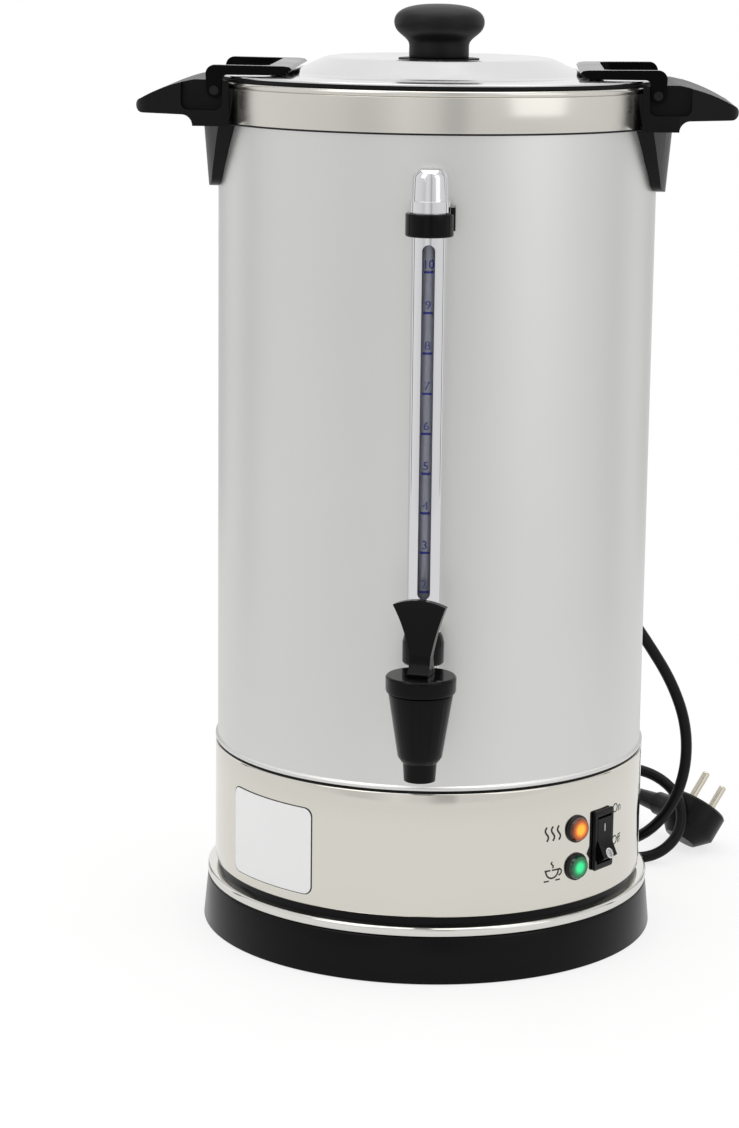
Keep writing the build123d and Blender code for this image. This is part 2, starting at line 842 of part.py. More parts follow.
ridge_step = 360 / cap_ridges
cap_web = 0.8
with BuildPart() as gauge_cap:
    turned([
        (cap_bore_r, cap_low + cap_ring_h - cap_web),
        (cap_ring_r - 0.5, cap_low + cap_ring_h - cap_web),
        (cap_ring_r - 0.5, cap_low + cap_ring_h),
        (cap_r, cap_low + cap_ring_h),
        (cap_r - 0.4, cap_top - 4.2),
        (cap_r - 1.2, cap_top - 2.4),
        (cap_crown_r, cap_top - 0.4),
        (cap_crown_r - 1.5, cap_top),
        (0, cap_top),
        (0, glass_high + 1.5),
        (cap_bore_r, glass_high + 1.5),
    ], axis=gauge_axis, plane=gauge_plane)
    with BuildSketch(Plane.XY.offset(cap_low)):
        with Locations((0, gauge_y)):
            RegularPolygon(cap_ring_r, cap_ridges)
            RegularPolygon(cap_ring_r, cap_ridges, rotation=ridge_step / 2)
            Circle(shield_r + 0.3, mode=Mode.SUBTRACT)
    extrude(amount=cap_ring_h)
    with BuildSketch(Plane.XY.offset(cap_top - 1.2)):
        with Locations((0, gauge_y)):
            Rectangle(2 * cap_crown_r, 1.6)
    extrude(amount=5, mode=Mode.SUBTRACT)
save(gauge_cap, "gauge_cap")

with BuildPart() as gauge_seals:
    for low in (gauge_nut_low + 6, cap_low + cap_ring_h + 0.5):
        turned([
            (glass_r + rim_fit, low), (cap_bore_r - rim_fit, low), (cap_bore_r - rim_fit, low + seal_t),
            (glass_r + rim_fit, low + seal_t),
        ], axis=gauge_axis, plane=gauge_plane)
save(gauge_seals, "gauge_seals")

with BuildPart() as gauge_nut:
    turned([
        (socket_r + rim_fit, gauge_nut_low), (gauge_nut_r - 0.8, gauge_nut_low),
        (gauge_nut_r, gauge_nut_low + 1), (gauge_nut_r, shield_low - 6),
        (gauge_nut_r - 0.9, shield_low - 2.5), (gauge_nut_r - 2.5, shield_low), (glass_r + 0.3, shield_low),
        (glass_r + 0.3, gauge_nut_low + 11), (socket_r + rim_fit, gauge_nut_low + 11),
    ], axis=gauge_axis, plane=gauge_plane)
save(gauge_nut, "gauge_nut")

# ---------------------------------------------------------------- tap
with BuildPart() as tap_shank:
    with BuildSketch(Plane.XZ.offset(-shank_in_y)):
        with Locations((0, shank_z)):
            Circle(shank_r)
    extrude(amount=shank_in_y - shank_out_y)
    with BuildSketch(Plane.XZ.offset(tank_r + washer_t)):
        with Locations((0, shank_z)):
            RegularPolygon(nut_r - 1, 6)
    extrude(amount=4)
    turned([
        (0, shank_z - shank_r + 1), (shank_r + 1.5, shank_z - shank_r + 1),
        (shank_r + 1.5, gauge_nut_low - 4), (socket_r, gauge_nut_low - 2),
        (socket_r, gauge_nut_low + 10.5), (0, gauge_nut_low + 10.5),
    ], axis=gauge_axis, plane=gauge_plane)
    turned([
        (0, glass_low), (glass_r + rim_fit, glass_low), (glass_r + rim_fit, gauge_nut_low + 6),
        (cap_bore_r, gauge_nut_low + 6), (cap_bore_r, shield_low), (0, shield_low),
    ], axis=gauge_axis, plane=gauge_plane, mode=Mode.SUBTRACT)
    turned([
        (0, shank_z), (glass_bore_r, shank_z), (glass_bore_r, shield_low), (0, shield_low),
    ], axis=gauge_axis, plane=gauge_plane, mode=Mode.SUBTRACT)
    with BuildSketch(Plane.XZ.offset(-shank_in_y - 5)):
        with Locations((0, shank_z)):
            Circle(shank_bore_r)
    extrude(amount=70, mode=Mode.SUBTRACT)
save(tap_shank, "tap_shank")

washer_in = tank_in - washer_t - 0.8
with BuildPart() as tap_nut:
    with BuildSketch(Plane.XZ.offset(washer_in - nut_t)):
        with Locations((0, shank_z)):
            RegularPolygon(nut_r, 6)
            Circle(shank_r + rim_fit, mode=Mode.SUBTRACT)
    extrude(amount=nut_t)
save(tap_nut, "tap_nut")

with BuildPart() as tap_washers:
    for start in (washer_in, tank_r + rim_fit):
        with BuildSketch(Plane.XZ.offset(start)):
            with Locations((0, shank_z)):
                Circle(nut_r - 0.5)
                Circle(shank_r + rim_fit, mode=Mode.SUBTRACT)
        extrude(amount=washer_t - rim_fit)
save(tap_washers, "tap_washers")

tap_axis = Axis((0, tap_y, 0), (0, 0, 1))
tap_plane = Plane.XZ.offset(-tap_y)
with BuildPart() as tap_body:
    turned([
        (0, outlet_low), (outlet_low_r, outlet_low), (outlet_r, body_low - 4.5),
        (body_low_r - 2, body_low - 4), (body_low_r, body_low - 1), (body_top_r, body_top),
        (thread_r, body_top + 0.6), (thread_r, thread_top), (0, thread_top),
    ], axis=tap_axis, plane=tap_plane)
    with BuildSketch(Plane.XZ.offset(tank_r + body_arm_out)):
        with Locations((0, shank_z)):
            Circle(body_arm_r)
    extrude(amount=tap_out - body_arm_out)
    turned([
        (0, seat_z), (chamber_r, seat_z), (chamber_r, thread_top + 1), (0, thread_top + 1),
    ], axis=tap_axis, plane=tap_plane, mode=Mode.SUBTRACT)
    turned([
        (0, outlet_low - 1), (outlet_bore_r, outlet_low - 1), (outlet_bore_r, seat_z + 1), (0, seat_z + 1),
    ], axis=tap_axis, plane=tap_plane, mode=Mode.SUBTRACT)
    with BuildSketch(Plane.XZ.offset(tank_r + body_bore_out)):
        with Locations((0, shank_z)):
            Circle(shank_r + rim_fit)
    extrude(amount=shank_outside - body_bore_out, mode=Mode.SUBTRACT)
    with BuildSketch(Plane.XZ.offset(-shank_out_y - 1)):
        with Locations((0, shank_z)):
            Circle(shank_bore_r)
    extrude(amount=shank_out_y - tap_y + 1, mode=Mode.SUBTRACT)
save(tap_body, "tap_body")

bonnet_low = bonnet_top - bonnet_skirt
stem_gap = 0.08
with BuildPart() as tap_bonnet:
    turned([
        (thread_r + rim_fit, bonnet_low), (bonnet_r - 0.5, bonnet_low), (bonnet_r - 0.1, bonnet_low + 1.4),
        (bonnet_r, bonnet_top - 0.9), (bonnet_r - 0.9, bonnet_top), (stem_r + stem_gap, bonnet_top),
        (stem_r + stem_gap, bonnet_top - bonnet_t), (thread_r + rim_fit, bonnet_top - bonnet_t),
    ], axis=tap_axis, plane=tap_plane)
save(tap_bonnet, "tap_bonnet")

lever_a = math.radians(lever_turn)
lever_side = Vector(math.cos(lever_a), -math.sin(lever_a), 0)
lever_back = Vector(math.sin(lever_a), math.cos(lever_a), 0)
foot_z = bonnet_top + 0.1
pin_z = foot_z + pin_lift
lever_front_plane = Plane(origin=(0, tap_y, 0), x_dir=lever_side, z_dir=-lever_back)
lever_side_plane = Plane(origin=(0, tap_y, 0), x_dir=lever_back, z_dir=lever_side)

with BuildPart() as tap_lever:
    with BuildSketch(lever_side_plane):
        with BuildLine():
            Polyline((-foot_half, foot_z), (foot_half, foot_z), (foot_half, foot_z + 1.4))
            ThreePointArc((foot_half, foot_z + 1.4), (4.4, foot_z + 5.5), (3.0, foot_z + 11))
            Spline((3.0, foot_z + 11), (1.0, foot_z + 26), (-lever_lean + lever_t / 2, lever_top),
                   tangents=((0, 1), (-0.35, 1)))
            Line((-lever_lean + lever_t / 2, lever_top), (-lever_lean - lever_t / 2, lever_top))
            Spline((-lever_lean - lever_t / 2, lever_top), (-3.6, foot_z + 26), (-3.0, foot_z + 11),
                   tangents=((0.35, -1), (0, -1)))
            ThreePointArc((-3.0, foot_z + 11), (-4.4, foot_z + 5.5), (-foot_half, foot_z + 1.4))
            Line((-foot_half, foot_z + 1.4), (-foot_half, foot_z))
        make_face()
    extrude(amount=lever_half + 2, both=True)
    with BuildSketch(lever_front_plane):
        with BuildLine():
            Polyline((lever_neck_half, foot_z - 1), (lever_neck_half, foot_z + 10))
            ThreePointArc((lever_neck_half, foot_z + 10), (8.6, foot_z + 22),
                          (lever_half, lever_top - 3.5))
            ThreePointArc((lever_half, lever_top - 3.5), (0, lever_top - 0.2), (-lever_half, lever_top - 3.5))
            ThreePointArc((-lever_half, lever_top - 3.5), (-8.6, foot_z + 22),
                          (-lever_neck_half, foot_z + 10))
            Polyline((-lever_neck_half, foot_z + 10), (-lever_neck_half, foot_z - 1),
                     (lever_neck_half, foot_z - 1))
        make_face()
    extrude(amount=3 * foot_half, both=True, mode=Mode.INTERSECT)
    with BuildSketch(lever_side_plane):
        with BuildLine():
            Polyline((-5.2, foot_z - 1), (5.2, foot_z - 1), (3.2, pin_z + 1.6), (-3.2, pin_z + 1.6),
                     close=True)
        make_face()
        with Locations((0, pin_z)):
            Circle(4.2)
    extrude(amount=stem_tongue_t / 2 + side_gap, both=True, mode=Mode.SUBTRACT)
    with BuildSketch(lever_side_plane):
        with Locations((0, pin_z)):
            Circle(lever_pin_r + run_fit)
    extrude(amount=lever_half, both=True, mode=Mode.SUBTRACT)
save(tap_lever, "tap_lever")

cup_z = seat_z
tongue_low = bonnet_top - 4.5
with BuildPart() as valve_stem:
    with BuildSketch(Plane.XY.offset(cup_z + 2)):
        with Locations((0, tap_y)):
            Circle(stem_r)
    extrude(amount=tongue_low - cup_z - 2)
    with BuildSketch(lever_side_plane):
        with Locations((0, (tongue_low + pin_z) / 2)):
            Rectangle(2.6, pin_z - tongue_low)
        with Locations((0, pin_z)):
            Circle(lever_pin_r + 1.3)
    extrude(amount=stem_tongue_t / 2, both=True)
    with BuildSketch(Plane.XY.offset(cup_z + cup_t)):
        with Locations((0, tap_y)):
            Circle(spring_r + spring_wire)
    extrude(amount=1.2)
    with BuildSketch(lever_side_plane):
        with Locations((0, pin_z)):
            Circle(lever_pin_r)
    extrude(amount=stem_tongue_t, both=True, mode=Mode.SUBTRACT)
save(valve_stem, "valve_stem")

with BuildPart() as lever_pin:
    with BuildSketch(lever_side_plane):
        with Locations((0, pin_z)):
            Circle(lever_pin_r)
    extrude(amount=lever_neck_half - 0.3, both=True)
save(lever_pin, "tap_lever_pin")

with BuildPart() as valve_cup:
    turned([
        (stem_r, cup_z + 2), (stem_r, cup_z + cup_t), (cup_r - 3, cup_z + cup_t), (cup_r, cup_z + 2.5),
        (cup_r, cup_z), (0, cup_z), (0, cup_z + 2),
    ], axis=tap_axis, plane=tap_plane)
save(valve_cup, "valve_cup")

spring_low = cup_z + cup_t + 1.2 + spring_wire
spring_high = bonnet_top - bonnet_t - spring_wire
with BuildPart() as valve_spring:
    with BuildLine():
        coil = Helix(pitch=(spring_high - spring_low) / spring_turns, height=spring_high - spring_low,
                     radius=spring_r, center=(0, tap_y, spring_low))
    with BuildSketch(Plane(origin=coil @ 0, z_dir=coil % 0)):
        RegularPolygon(spring_wire, 6)
    sweep(is_frenet=True)
save(valve_spring, "valve_spring")

# ---------------------------------------------------------------- lamps and switch
for colour, spot in lamp_planes.items():
    with BuildPart() as lamp:
        with BuildSketch(spot.offset(0.3)):
            Circle(lamp_r)
        extrude(amount=1.4)
        with BuildSketch(spot.offset(1.7)):
            Circle(lamp_r - 0.5)
        extrude(amount=lamp_dome - 1.4, taper=24)
        peg(spot, lamp_stem_r, -lamp_depth, 0.3)
    save(lamp, f"lamp_{colour}")

with BuildPart() as lamp_clips:
    for spot in lamp_planes.values():
        with BuildSketch(spot.offset(-housing_wall - 2.2)):
            Circle(lamp_stem_r + 3)
            Circle(lamp_stem_r + rim_fit, mode=Mode.SUBTRACT)
        extrude(amount=1.6)
save(lamp_clips, "lamp_clips")

window_w = switch_body_w - 2 * switch_wall
window_h = 2 * rocker_r
with BuildPart() as switch_frame:
    with BuildSketch(switch_plane):
        RectangleRounded(switch_w, switch_h, 1.5)
    extrude(amount=switch_flange_t)
    chamfer(switch_frame.faces().sort_by(SortBy.DISTANCE)[-1].edges(), 0.5)
    with BuildSketch(switch_plane):
        Rectangle(switch_body_w, switch_body_h)
    extrude(amount=-switch_depth)
    with BuildSketch(switch_plane.offset(switch_flange_t)):
        Rectangle(window_w, window_h)
    extrude(amount=-switch_flange_t - switch_depth + switch_wall, mode=Mode.SUBTRACT)
save(switch_frame, "switch_frame")

rocker_rise = 2 * rocker_r * math.tan(math.radians(2 * rocker_tilt))
rocker_section = Plane(origin=switch_plane.origin, x_dir=switch_plane.y_dir, z_dir=switch_plane.x_dir)
with BuildPart() as rocker:
    with BuildSketch(rocker_section):
        with Locations((0, -rocker_pivot)):
            Circle(rocker_r - 0.3)
        with BuildLine():
            Polyline((0, rocker_face), (-2 * rocker_r, rocker_face + rocker_rise),
                     (-2 * rocker_r, 3 * rocker_r), (2 * rocker_r, 3 * rocker_r),
                     (2 * rocker_r, rocker_face), close=True)
        make_face(mode=Mode.SUBTRACT)
        with Locations((0, -rocker_pivot - rocker_r)):
            Rectangle(3 * rocker_r, 1.3 * rocker_r, mode=Mode.SUBTRACT)
    extrude(amount=window_w / 2 - side_gap, both=True)
    with BuildSketch(rocker_section):
        with Locations((0, -rocker_pivot)):
            Circle(1.2 + run_fit)
    extrude(amount=window_w, both=True, mode=Mode.SUBTRACT)
save(rocker, "rocker")

with BuildPart() as rocker_axle:
    with BuildSketch(rocker_section):
        with Locations((0, -rocker_pivot)):
            Circle(1.2)
    extrude(amount=window_w / 2 - 0.01, both=True)
save(rocker_axle, "rocker_axle")

# ---------------------------------------------------------------- percolator insert
well_z = floor_z - well_depth
basket_floor_in = tube_r + basket_sleeve_gap
with BuildPart() as pump_base:
    turned([
        (pump_r, well_z), (pump_r, well_z + 2),
        (tube_r + 5, well_z + pump_h), (tube_r + 2, well_z + pump_h + 8),
        (tube_r + rim_fit, well_z + pump_h + 8), (tube_r + rim_fit, well_z + pump_h - 2),
        (pump_r - 3, well_z),
    ])
    with PolarLocations(pump_r - 2, 6):
        with Locations((0, 0, well_z)):
            Cylinder(3, 5, mode=Mode.SUBTRACT)
save(pump_base, "pump_base")

with BuildPart() as pump_tube:
    ring(tube_bore_r, tube_r, well_z + 6, tube_top)
    ring(tube_r, tube_r + 4, basket_low - 2, basket_low)
save(pump_tube, "pump_tube")

with BuildPart() as basket:
    turned([
        (basket_floor_in, basket_low), (basket_r - 4, basket_low), (basket_r, basket_low + 4),
        (basket_r, basket_low + basket_h - 1), (basket_r + 2.5, basket_low + basket_h - 1),
        (basket_r + 2.5, basket_low + basket_h), (basket_r - basket_wall, basket_low + basket_h),
        (basket_r - basket_wall, basket_low + 4.4), (basket_r - 4.4, basket_low + basket_wall),
        (basket_floor_in + basket_wall, basket_low + basket_wall),
        (basket_floor_in + basket_wall, basket_low + basket_h - 8),
        (basket_floor_in, basket_low + basket_h - 8),
    ])
    for radius, count in ((24, 8), (44, 14), (64, 20)):
        with PolarLocations(radius, count):
            with Locations((0, 0, basket_low)):
                Cylinder(perforation_r, 4, mode=Mode.SUBTRACT)
save(basket, "basket")

spreader_z = basket_low + basket_h + rim_fit
with BuildPart() as spreader:
    turned([
        (tube_r + basket_sleeve_gap, spreader_z + spreader_h), (tube_r + 6, spreader_z + spreader_h),
        (basket_r - 12, spreader_z + 1), (basket_r + 2, spreader_z + 1), (basket_r + 2, spreader_z),
        (basket_r - 12.4, spreader_z), (tube_r + 6, spreader_z + spreader_h - 1),
        (tube_r + basket_sleeve_gap, spreader_z + spreader_h - 1),
    ])
    for radius, count in ((30, 8), (52, 14)):
        with PolarLocations(radius, count):
            with Locations((0, 0, spreader_z + spreader_h / 2)):
                Cylinder(perforation_r, 3 * spreader_h, mode=Mode.SUBTRACT)
save(spreader, "spreader")

# ---------------------------------------------------------------- heating, in the closed housing
element_z = under_floor - element_r
with BuildPart() as element:
    with BuildSketch(Plane.XZ):
        with Locations((element_circle_r, element_z)):
            Circle(element_r)
    revolve(axis=Axis.Z, revolution_arc=325)
    for turn in (0, -325):
        with BuildSketch(Plane.XY.rotated((0, 0, turn)).offset(element_z - element_leg)):
            with Locations((element_circle_r, 0)):
                Circle(element_r)
        extrude(amount=element_leg)
save(element, "heating_element")

puck_top = well_z - floor_t
with BuildPart() as puck:
    ring(0, puck_r, puck_top - puck_t, puck_top)
    ring(0, stud_r, puck_top - puck_t - stud_len, puck_top - puck_t)
save(puck, "well_heater")

with BuildPart() as thermostat:
    for x, radius, height in ((18, 8, 9), (-18, 7, 7)):
        with BuildSketch(Plane.XY.offset(puck_top - puck_t - height)):
            with Locations((x, 0)):
                Circle(radius)
        extrude(amount=height)
save(thermostat, "thermostats")

with BuildPart() as terminal_block:
    with BuildSketch(Plane.XY.offset(plate_t)):
        with Locations((20, 20)):
            Rectangle(34, 16)
    extrude(amount=14)
    with BuildSketch(Plane.XY.offset(plate_t + 8)):
        with Locations((20, 20)):
            with GridLocations(11, 1, 3, 1):
                Rectangle(6, 16.5)
    extrude(amount=8, mode=Mode.SUBTRACT)
save(terminal_block, "terminal_block")

# ---------------------------------------------------------------- mains lead
gland_tip = gland_flange_t + gland_len
with BuildPart() as cord_gland:
    peg(gland_plane, gland_hole_r, -6, 0)
    peg(gland_plane, gland_hole_r + 2.5, 0, gland_flange_t)
    with BuildSketch(gland_plane.offset(gland_flange_t)):
        Circle(gland_hole_r - 0.8)
    with BuildSketch(gland_plane.offset(gland_tip)):
        Circle(cord_r + 1)
    loft()
    peg(gland_plane, cord_r, -7, gland_tip + 1, mode=Mode.SUBTRACT)
    for index in range(4):
        with BuildSketch(gland_plane.offset(gland_flange_t + 4 + 4 * index)):
            Circle(gland_hole_r + 1)
            Circle(cord_r + 1.4, mode=Mode.SUBTRACT)
        extrude(amount=1.4, mode=Mode.SUBTRACT)
save(cord_gland, "cord_gland")

floor_cord = cord_r + 0.1
coil_meet = math.sqrt((coil_mid_r + cord_r) ** 2 - (coil_mid_r - cord_r) ** 2)
coil_near = (coil_at[0] + coil_meet, coil_at[1] - coil_mid_r, floor_cord)
coil_right = (coil_at[0] + coil_mid_r, coil_at[1] - coil_meet, floor_cord + 2 * cord_r * (coil_layers - 1))
plug_plane = Plane(origin=plug_at, x_dir=plug_neck, z_dir=plug_out)
sleeve_tip = tuple(plug_plane.from_local_coords(Vector(sleeve_end, 0, 0)))
sleeve_lead = tuple(plug_plane.from_local_coords(Vector(sleeve_end + 41, 0, 0)))
gland_exit = tuple(gland_plane.from_local_coords(Vector(0, 0, gland_tip)))
lead_near = [
    gland_exit, (114, 137, 55), (142, 139, 50), (159, 128.8, 36.4), (159, 114.4, 17.2), (142, 104.2, 3.6),
    (117, 104.2, 3.6), (90, 117, 3.6), (61, 135, 3.6), (28, 143.5, 3.6), coil_near,
]
lead_far = [
    coil_right, (7.5, 146, 32), (14, 142, 61), (26, 141, 90), (39, 136, 118), (54, 127, 144),
    (72, 114, 167), (93, 101, 179), (115, 95, 171), (132, 96.5, 147), (149, 98.5, 120), (159, 99, 92),
    (159.5, 99, 63), (151, 101, 37), (135, 113, 15), (114, 130, 4), (88, 146, 3.6), (61, 162, 3.6),
    (50, 191, 3.6), (66, 221, 5), sleeve_lead, sleeve_tip,
]


def bend_radii(points):
    """Bend radius at each inner corner, short enough for two bends to share a run."""
    spots = [Vector(*point) for point in points]
    radii = []
    for before, corner, after in zip(spots, spots[1:], spots[2:]):
        half_turn = (corner - before).get_angle(after - corner) / 2
        run = min((corner - before).length, (after - corner).length)
        radii.append(0.45 * run / math.tan(math.radians(half_turn)))
    return radii


with BuildPart() as cord_coil:
    with Locations((coil_at[0], coil_at[1], 0.1)):
        Cylinder(coil_mid_r + cord_r, 2 * cord_r * coil_layers, align=(Align.CENTER, Align.CENTER, Align.MIN))
        Cylinder(coil_mid_r - cord_r, 6 * cord_r * coil_layers, mode=Mode.SUBTRACT)
    fillet(cord_coil.edges().filter_by(GeomType.CIRCLE), cord_r - 0.5)
save(cord_coil, "cord_coil")

with BuildPart() as power_cord:
    for points in (lead_near, lead_far):
        with BuildLine() as route:
            FilletPolyline(*points, radius=bend_radii(points))
        with BuildSketch(Plane(origin=route.line @ 0, z_dir=route.line % 0)):
            Circle(cord_r)
        sweep(path=route.line)
save(power_cord, "power_cord")

plug_line = Axis(plug_plane.origin, plug_plane.z_dir)
plug_side = Plane(origin=plug_plane.origin, x_dir=plug_plane.x_dir, z_dir=-plug_plane.y_dir)
sleeve_line = Axis(plug_plane.origin, plug_plane.x_dir)
with BuildPart() as plug_body:
    turned([
        (0, -plug_back), (plug_back_r, -plug_back), (plug_r, plug_back_r - plug_r - plug_rim + 8.5),
        (plug_r, plug_rim - 1.5), (plug_r - 1.5, plug_rim), (0, plug_rim),
    ], axis=plug_line, plane=plug_side)
    turned([
        (8, 0), (8, neck_r + 3), (sleeve_start - 6, neck_r), (sleeve_start, neck_r), (sleeve_start, 0),
    ], axis=sleeve_line, plane=plug_side)
    turned([
        (sleeve_start, 0), (sleeve_start, neck_r - 1.2), (sleeve_end, sleeve_tip_r), (sleeve_end, 0),
    ], axis=sleeve_line, plane=plug_side)
save(plug_body, "plug_body")

with BuildPart() as plug_pins:
    for along in (-pin_gap / 2, pin_gap / 2):
        with BuildSketch(plug_plane.offset(plug_rim)):
            with Locations((0, along)):
                Circle(plug_pin_r)
        extrude(amount=pin_len)
    fillet(plug_pins.faces().sort_by(plug_line)[-2:].edges(), 1.2)
save(plug_pins, "plug_pins")
print("bend radii", [round(r, 1) for points in (lead_near, lead_far) for r in bend_radii(points)])
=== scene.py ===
"""Coffee urn: smooth pieces, procedural finishes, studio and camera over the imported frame."""
import logging
import math
from dataclasses import dataclass
from enum import Enum
from typing import Iterable, Optional, Sequence

import bmesh
import bpy
from mathutils import Matrix, Vector, geometry


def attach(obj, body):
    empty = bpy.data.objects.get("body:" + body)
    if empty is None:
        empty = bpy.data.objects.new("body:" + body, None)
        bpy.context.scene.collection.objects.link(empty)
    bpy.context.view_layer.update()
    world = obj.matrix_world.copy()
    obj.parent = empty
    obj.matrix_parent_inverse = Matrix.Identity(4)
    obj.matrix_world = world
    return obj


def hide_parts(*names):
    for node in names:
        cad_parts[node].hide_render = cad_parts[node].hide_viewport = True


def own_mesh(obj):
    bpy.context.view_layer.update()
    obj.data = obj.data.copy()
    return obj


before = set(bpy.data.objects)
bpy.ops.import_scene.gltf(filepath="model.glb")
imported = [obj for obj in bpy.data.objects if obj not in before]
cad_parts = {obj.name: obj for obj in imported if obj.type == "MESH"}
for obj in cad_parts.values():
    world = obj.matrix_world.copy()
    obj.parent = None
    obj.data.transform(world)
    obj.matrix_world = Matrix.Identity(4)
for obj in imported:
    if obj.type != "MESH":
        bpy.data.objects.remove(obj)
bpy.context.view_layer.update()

log = logging.getLogger("coffee_urn")
Point = tuple[float, ...]
Colour = tuple[float, float, float, float]
Form = bmesh.types.BMesh

MM = 0.001
# Corners of a new shape closer than this are one corner, in metres.
WELD = 1e-6
# The same for a CAD node's loose triangles, in metres.
CAD_WELD = 2e-6
# CAD faces that meet at less than this lie in one plane, in degrees.
FLAT_DEG = 0.6
# Mould edges sharper than this are rounded, in degrees.
MOULD_EDGE_DEG = 38.0
# Edges of a turned or moulded piece sharper than this stay crisp, in degrees.
CRISP_DEG = 32.0
# Corners this close to a cut lie on it, in metres.
CUT_REACH = 1e-7
# Faces round a rounded corner of a turned outline.
CORNER_FACES = 3
# Faces round the urn's largest rings.
RING_FACES = 224


# ------------------------------------------------------------------ small helpers
def colour(code: str) -> Colour:
    """Turn an sRGB hex code into the linear colour a shader socket takes.

    Args:
        code: six hex digits, with or without a leading hash.

    Returns:
        Linear red, green and blue, and an alpha of 1.
    """
    digits = code.lstrip("#")
    channels = [int(digits[i:i + 2], 16) / 255 for i in (0, 2, 4)]
    red, green, blue = (c / 12.92 if c <= 0.04045 else ((c + 0.055) / 1.055) ** 2.4 for c in channels)
    return (red, green, blue, 1.0)


def toned(code: str, gain: float, lift: float = 0.0) -> Colour:
    """Turn a hex code into a linear colour that is made lighter or darker.

    Args:
        code: six hex digits, with or without a leading hash.
        gain: what each channel is multiplied by.
        lift: what is then added to it.

    Returns:
        Linear red, green and blue, none above 1, and an alpha of 1.
    """
    red, green, blue = (min(1.0, channel * gain + lift) for channel in colour(code)[:3])
    return (red, green, blue, 1.0)


def per_metre(size_mm: float) -> float:
    """Turn the real size of a pattern's repeat into a texture scale."""
    return 1 / (size_mm * MM)


def add_node(tree: bpy.types.NodeTree, kind: str, inputs: Optional[dict] = None,
             links: Optional[dict] = None, **settings: object) -> bpy.types.Node:
    """Add a node with its settings, its literal inputs and its incoming links.

    Args:
        tree: the node tree that gets the node.
        kind: the node's type name.
        inputs: socket name or index to literal value.
        links: socket name or index to the output socket that feeds it.
        settings: attributes of the node itself.

    Returns:
        The new node.
    """
    node = tree.nodes.new(kind)
    for name, value in settings.items():
        setattr(node, name, value)
    for name, value in (inputs or {}).items():
        node.inputs[name].default_value = value
    for name, source in (links or {}).items():
        tree.links.new(source, node.inputs[name])
    return node


def fill_ramp(ramp: bpy.types.ColorRamp, stops: Sequence[tuple[float, str]]) -> None:
    """Give a new colour ramp its stops.

    Args:
        ramp: the ramp, which still has its own two stops.
        stops: positions and hex codes, from the first position to the last.
    """
    for stop, (position, code) in zip(ramp.elements, (stops[0], stops[-1])):
        stop.position = position
        stop.color = colour(code)
    for position, code in stops[1:-1]:
        stop = ramp.elements.new(position)
        stop.color = colour(code)


def linked(name: str, content: bpy.types.ID) -> bpy.types.Object:
    """Put a mesh, a curve, a lamp or a camera into the scene.

    Args:
        name: the object's name.
        content: what the object holds.

    Returns:
        The new object.
    """
    holder = bpy.data.objects.new(name, content)
    bpy.context.scene.collection.objects.link(holder)
    return holder


def mesh_object(name: str, form: Form) -> bpy.types.Object:
    """Turn a shape into an object.

    Args:
        name: the object's name.
        form: the shape, in metres, in the object's frame; it is freed here.

    Returns:
        The new object.
    """
    mesh = bpy.data.meshes.new(name)
    form.to_mesh(mesh)
    form.free()
    return linked(name, mesh)


def finish_mesh(name: str, form: Form, material: bpy.types.Material, body: str,
                smooth_deg: float) -> bpy.types.Object:
    """Turn a shape into a finished piece that rides on a body.

    Args:
        name: the piece's name.
        form: the shape, in metres, in the object's frame; it is freed here.
        material: the finish.
        body: the CAD body the piece rides on.
        smooth_deg: edges sharper than this stay crisp.

    Returns:
        The new piece.
    """
    piece = mesh_object(name, form)
    piece.data.shade_smooth()
    piece.data.set_sharp_from_angle(angle=math.radians(smooth_deg))
    piece.data.materials.append(material)
    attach(piece, body)
    return piece


def turned_form(outline: Sequence[Point], steps: int) -> Form:
    """Spin a closed outline about the upright axis.

    Args:
        outline: (radius, height) or (radius, height, rounding) in millimetres, in order.
        steps: faces round the turn.

    Returns:
        The shape in metres with its faces pointing outwards.
    """
    form = bmesh.new()
    corners = [form.verts.new((p[0] * MM, 0, p[1] * MM)) for p in outline]
    for first, second in zip(corners, corners[1:] + corners[:1]):
        form.edges.new((first, second))
    for corner, point in zip(corners, outline):
        if len(point) > 2:
            bmesh.ops.bevel(form, geom=[corner], offset=point[2] * MM, offset_type="OFFSET",
                            segments=CORNER_FACES, profile=0.5, affect="VERTICES", material=-1)
    bmesh.ops.spin(form, geom=form.verts[:] + form.edges[:], cent=(0, 0, 0), axis=(0, 0, 1),
                   dvec=(0, 0, 0), angle=2 * math.pi, steps=steps, use_merge=True)
    bmesh.ops.remove_doubles(form, verts=form.verts, dist=WELD)
    bmesh.ops.recalc_face_normals(form, faces=form.faces)
    return form


def merged_copy(node: str) -> Form:
    """Copy a CAD node's mesh with its loose triangles joined and its flat faces made whole.

    Args:
        node: the CAD node's name.

    Returns:
        The joined shape.
    """
    form = bmesh.new()
    form.from_mesh(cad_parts[node].data)
    bmesh.ops.remove_doubles(form, verts=form.verts, dist=CAD_WELD)
    bmesh.ops.dissolve_limit(form, angle_limit=math.radians(FLAT_DEG), verts=form.verts, edges=form.edges)
    return form


def softened(piece: bpy.types.Object, width_mm: float, segments: int) -> bpy.types.Object:
    """Round a piece's crisp edges with a bevel modifier.

    Args:
        piece: the piece.
        width_mm: how far the rounding reaches.
        segments: faces across the rounding.

    Returns:
        The same piece.
    """
    bevel = piece.modifiers.new("edge_rounding", "BEVEL")
    bevel.width = width_mm * MM
    bevel.segments = segments
    bevel.limit_method = "ANGLE"
    bevel.angle_limit = math.radians(MOULD_EDGE_DEG)
    bevel.harden_normals = True
    return piece


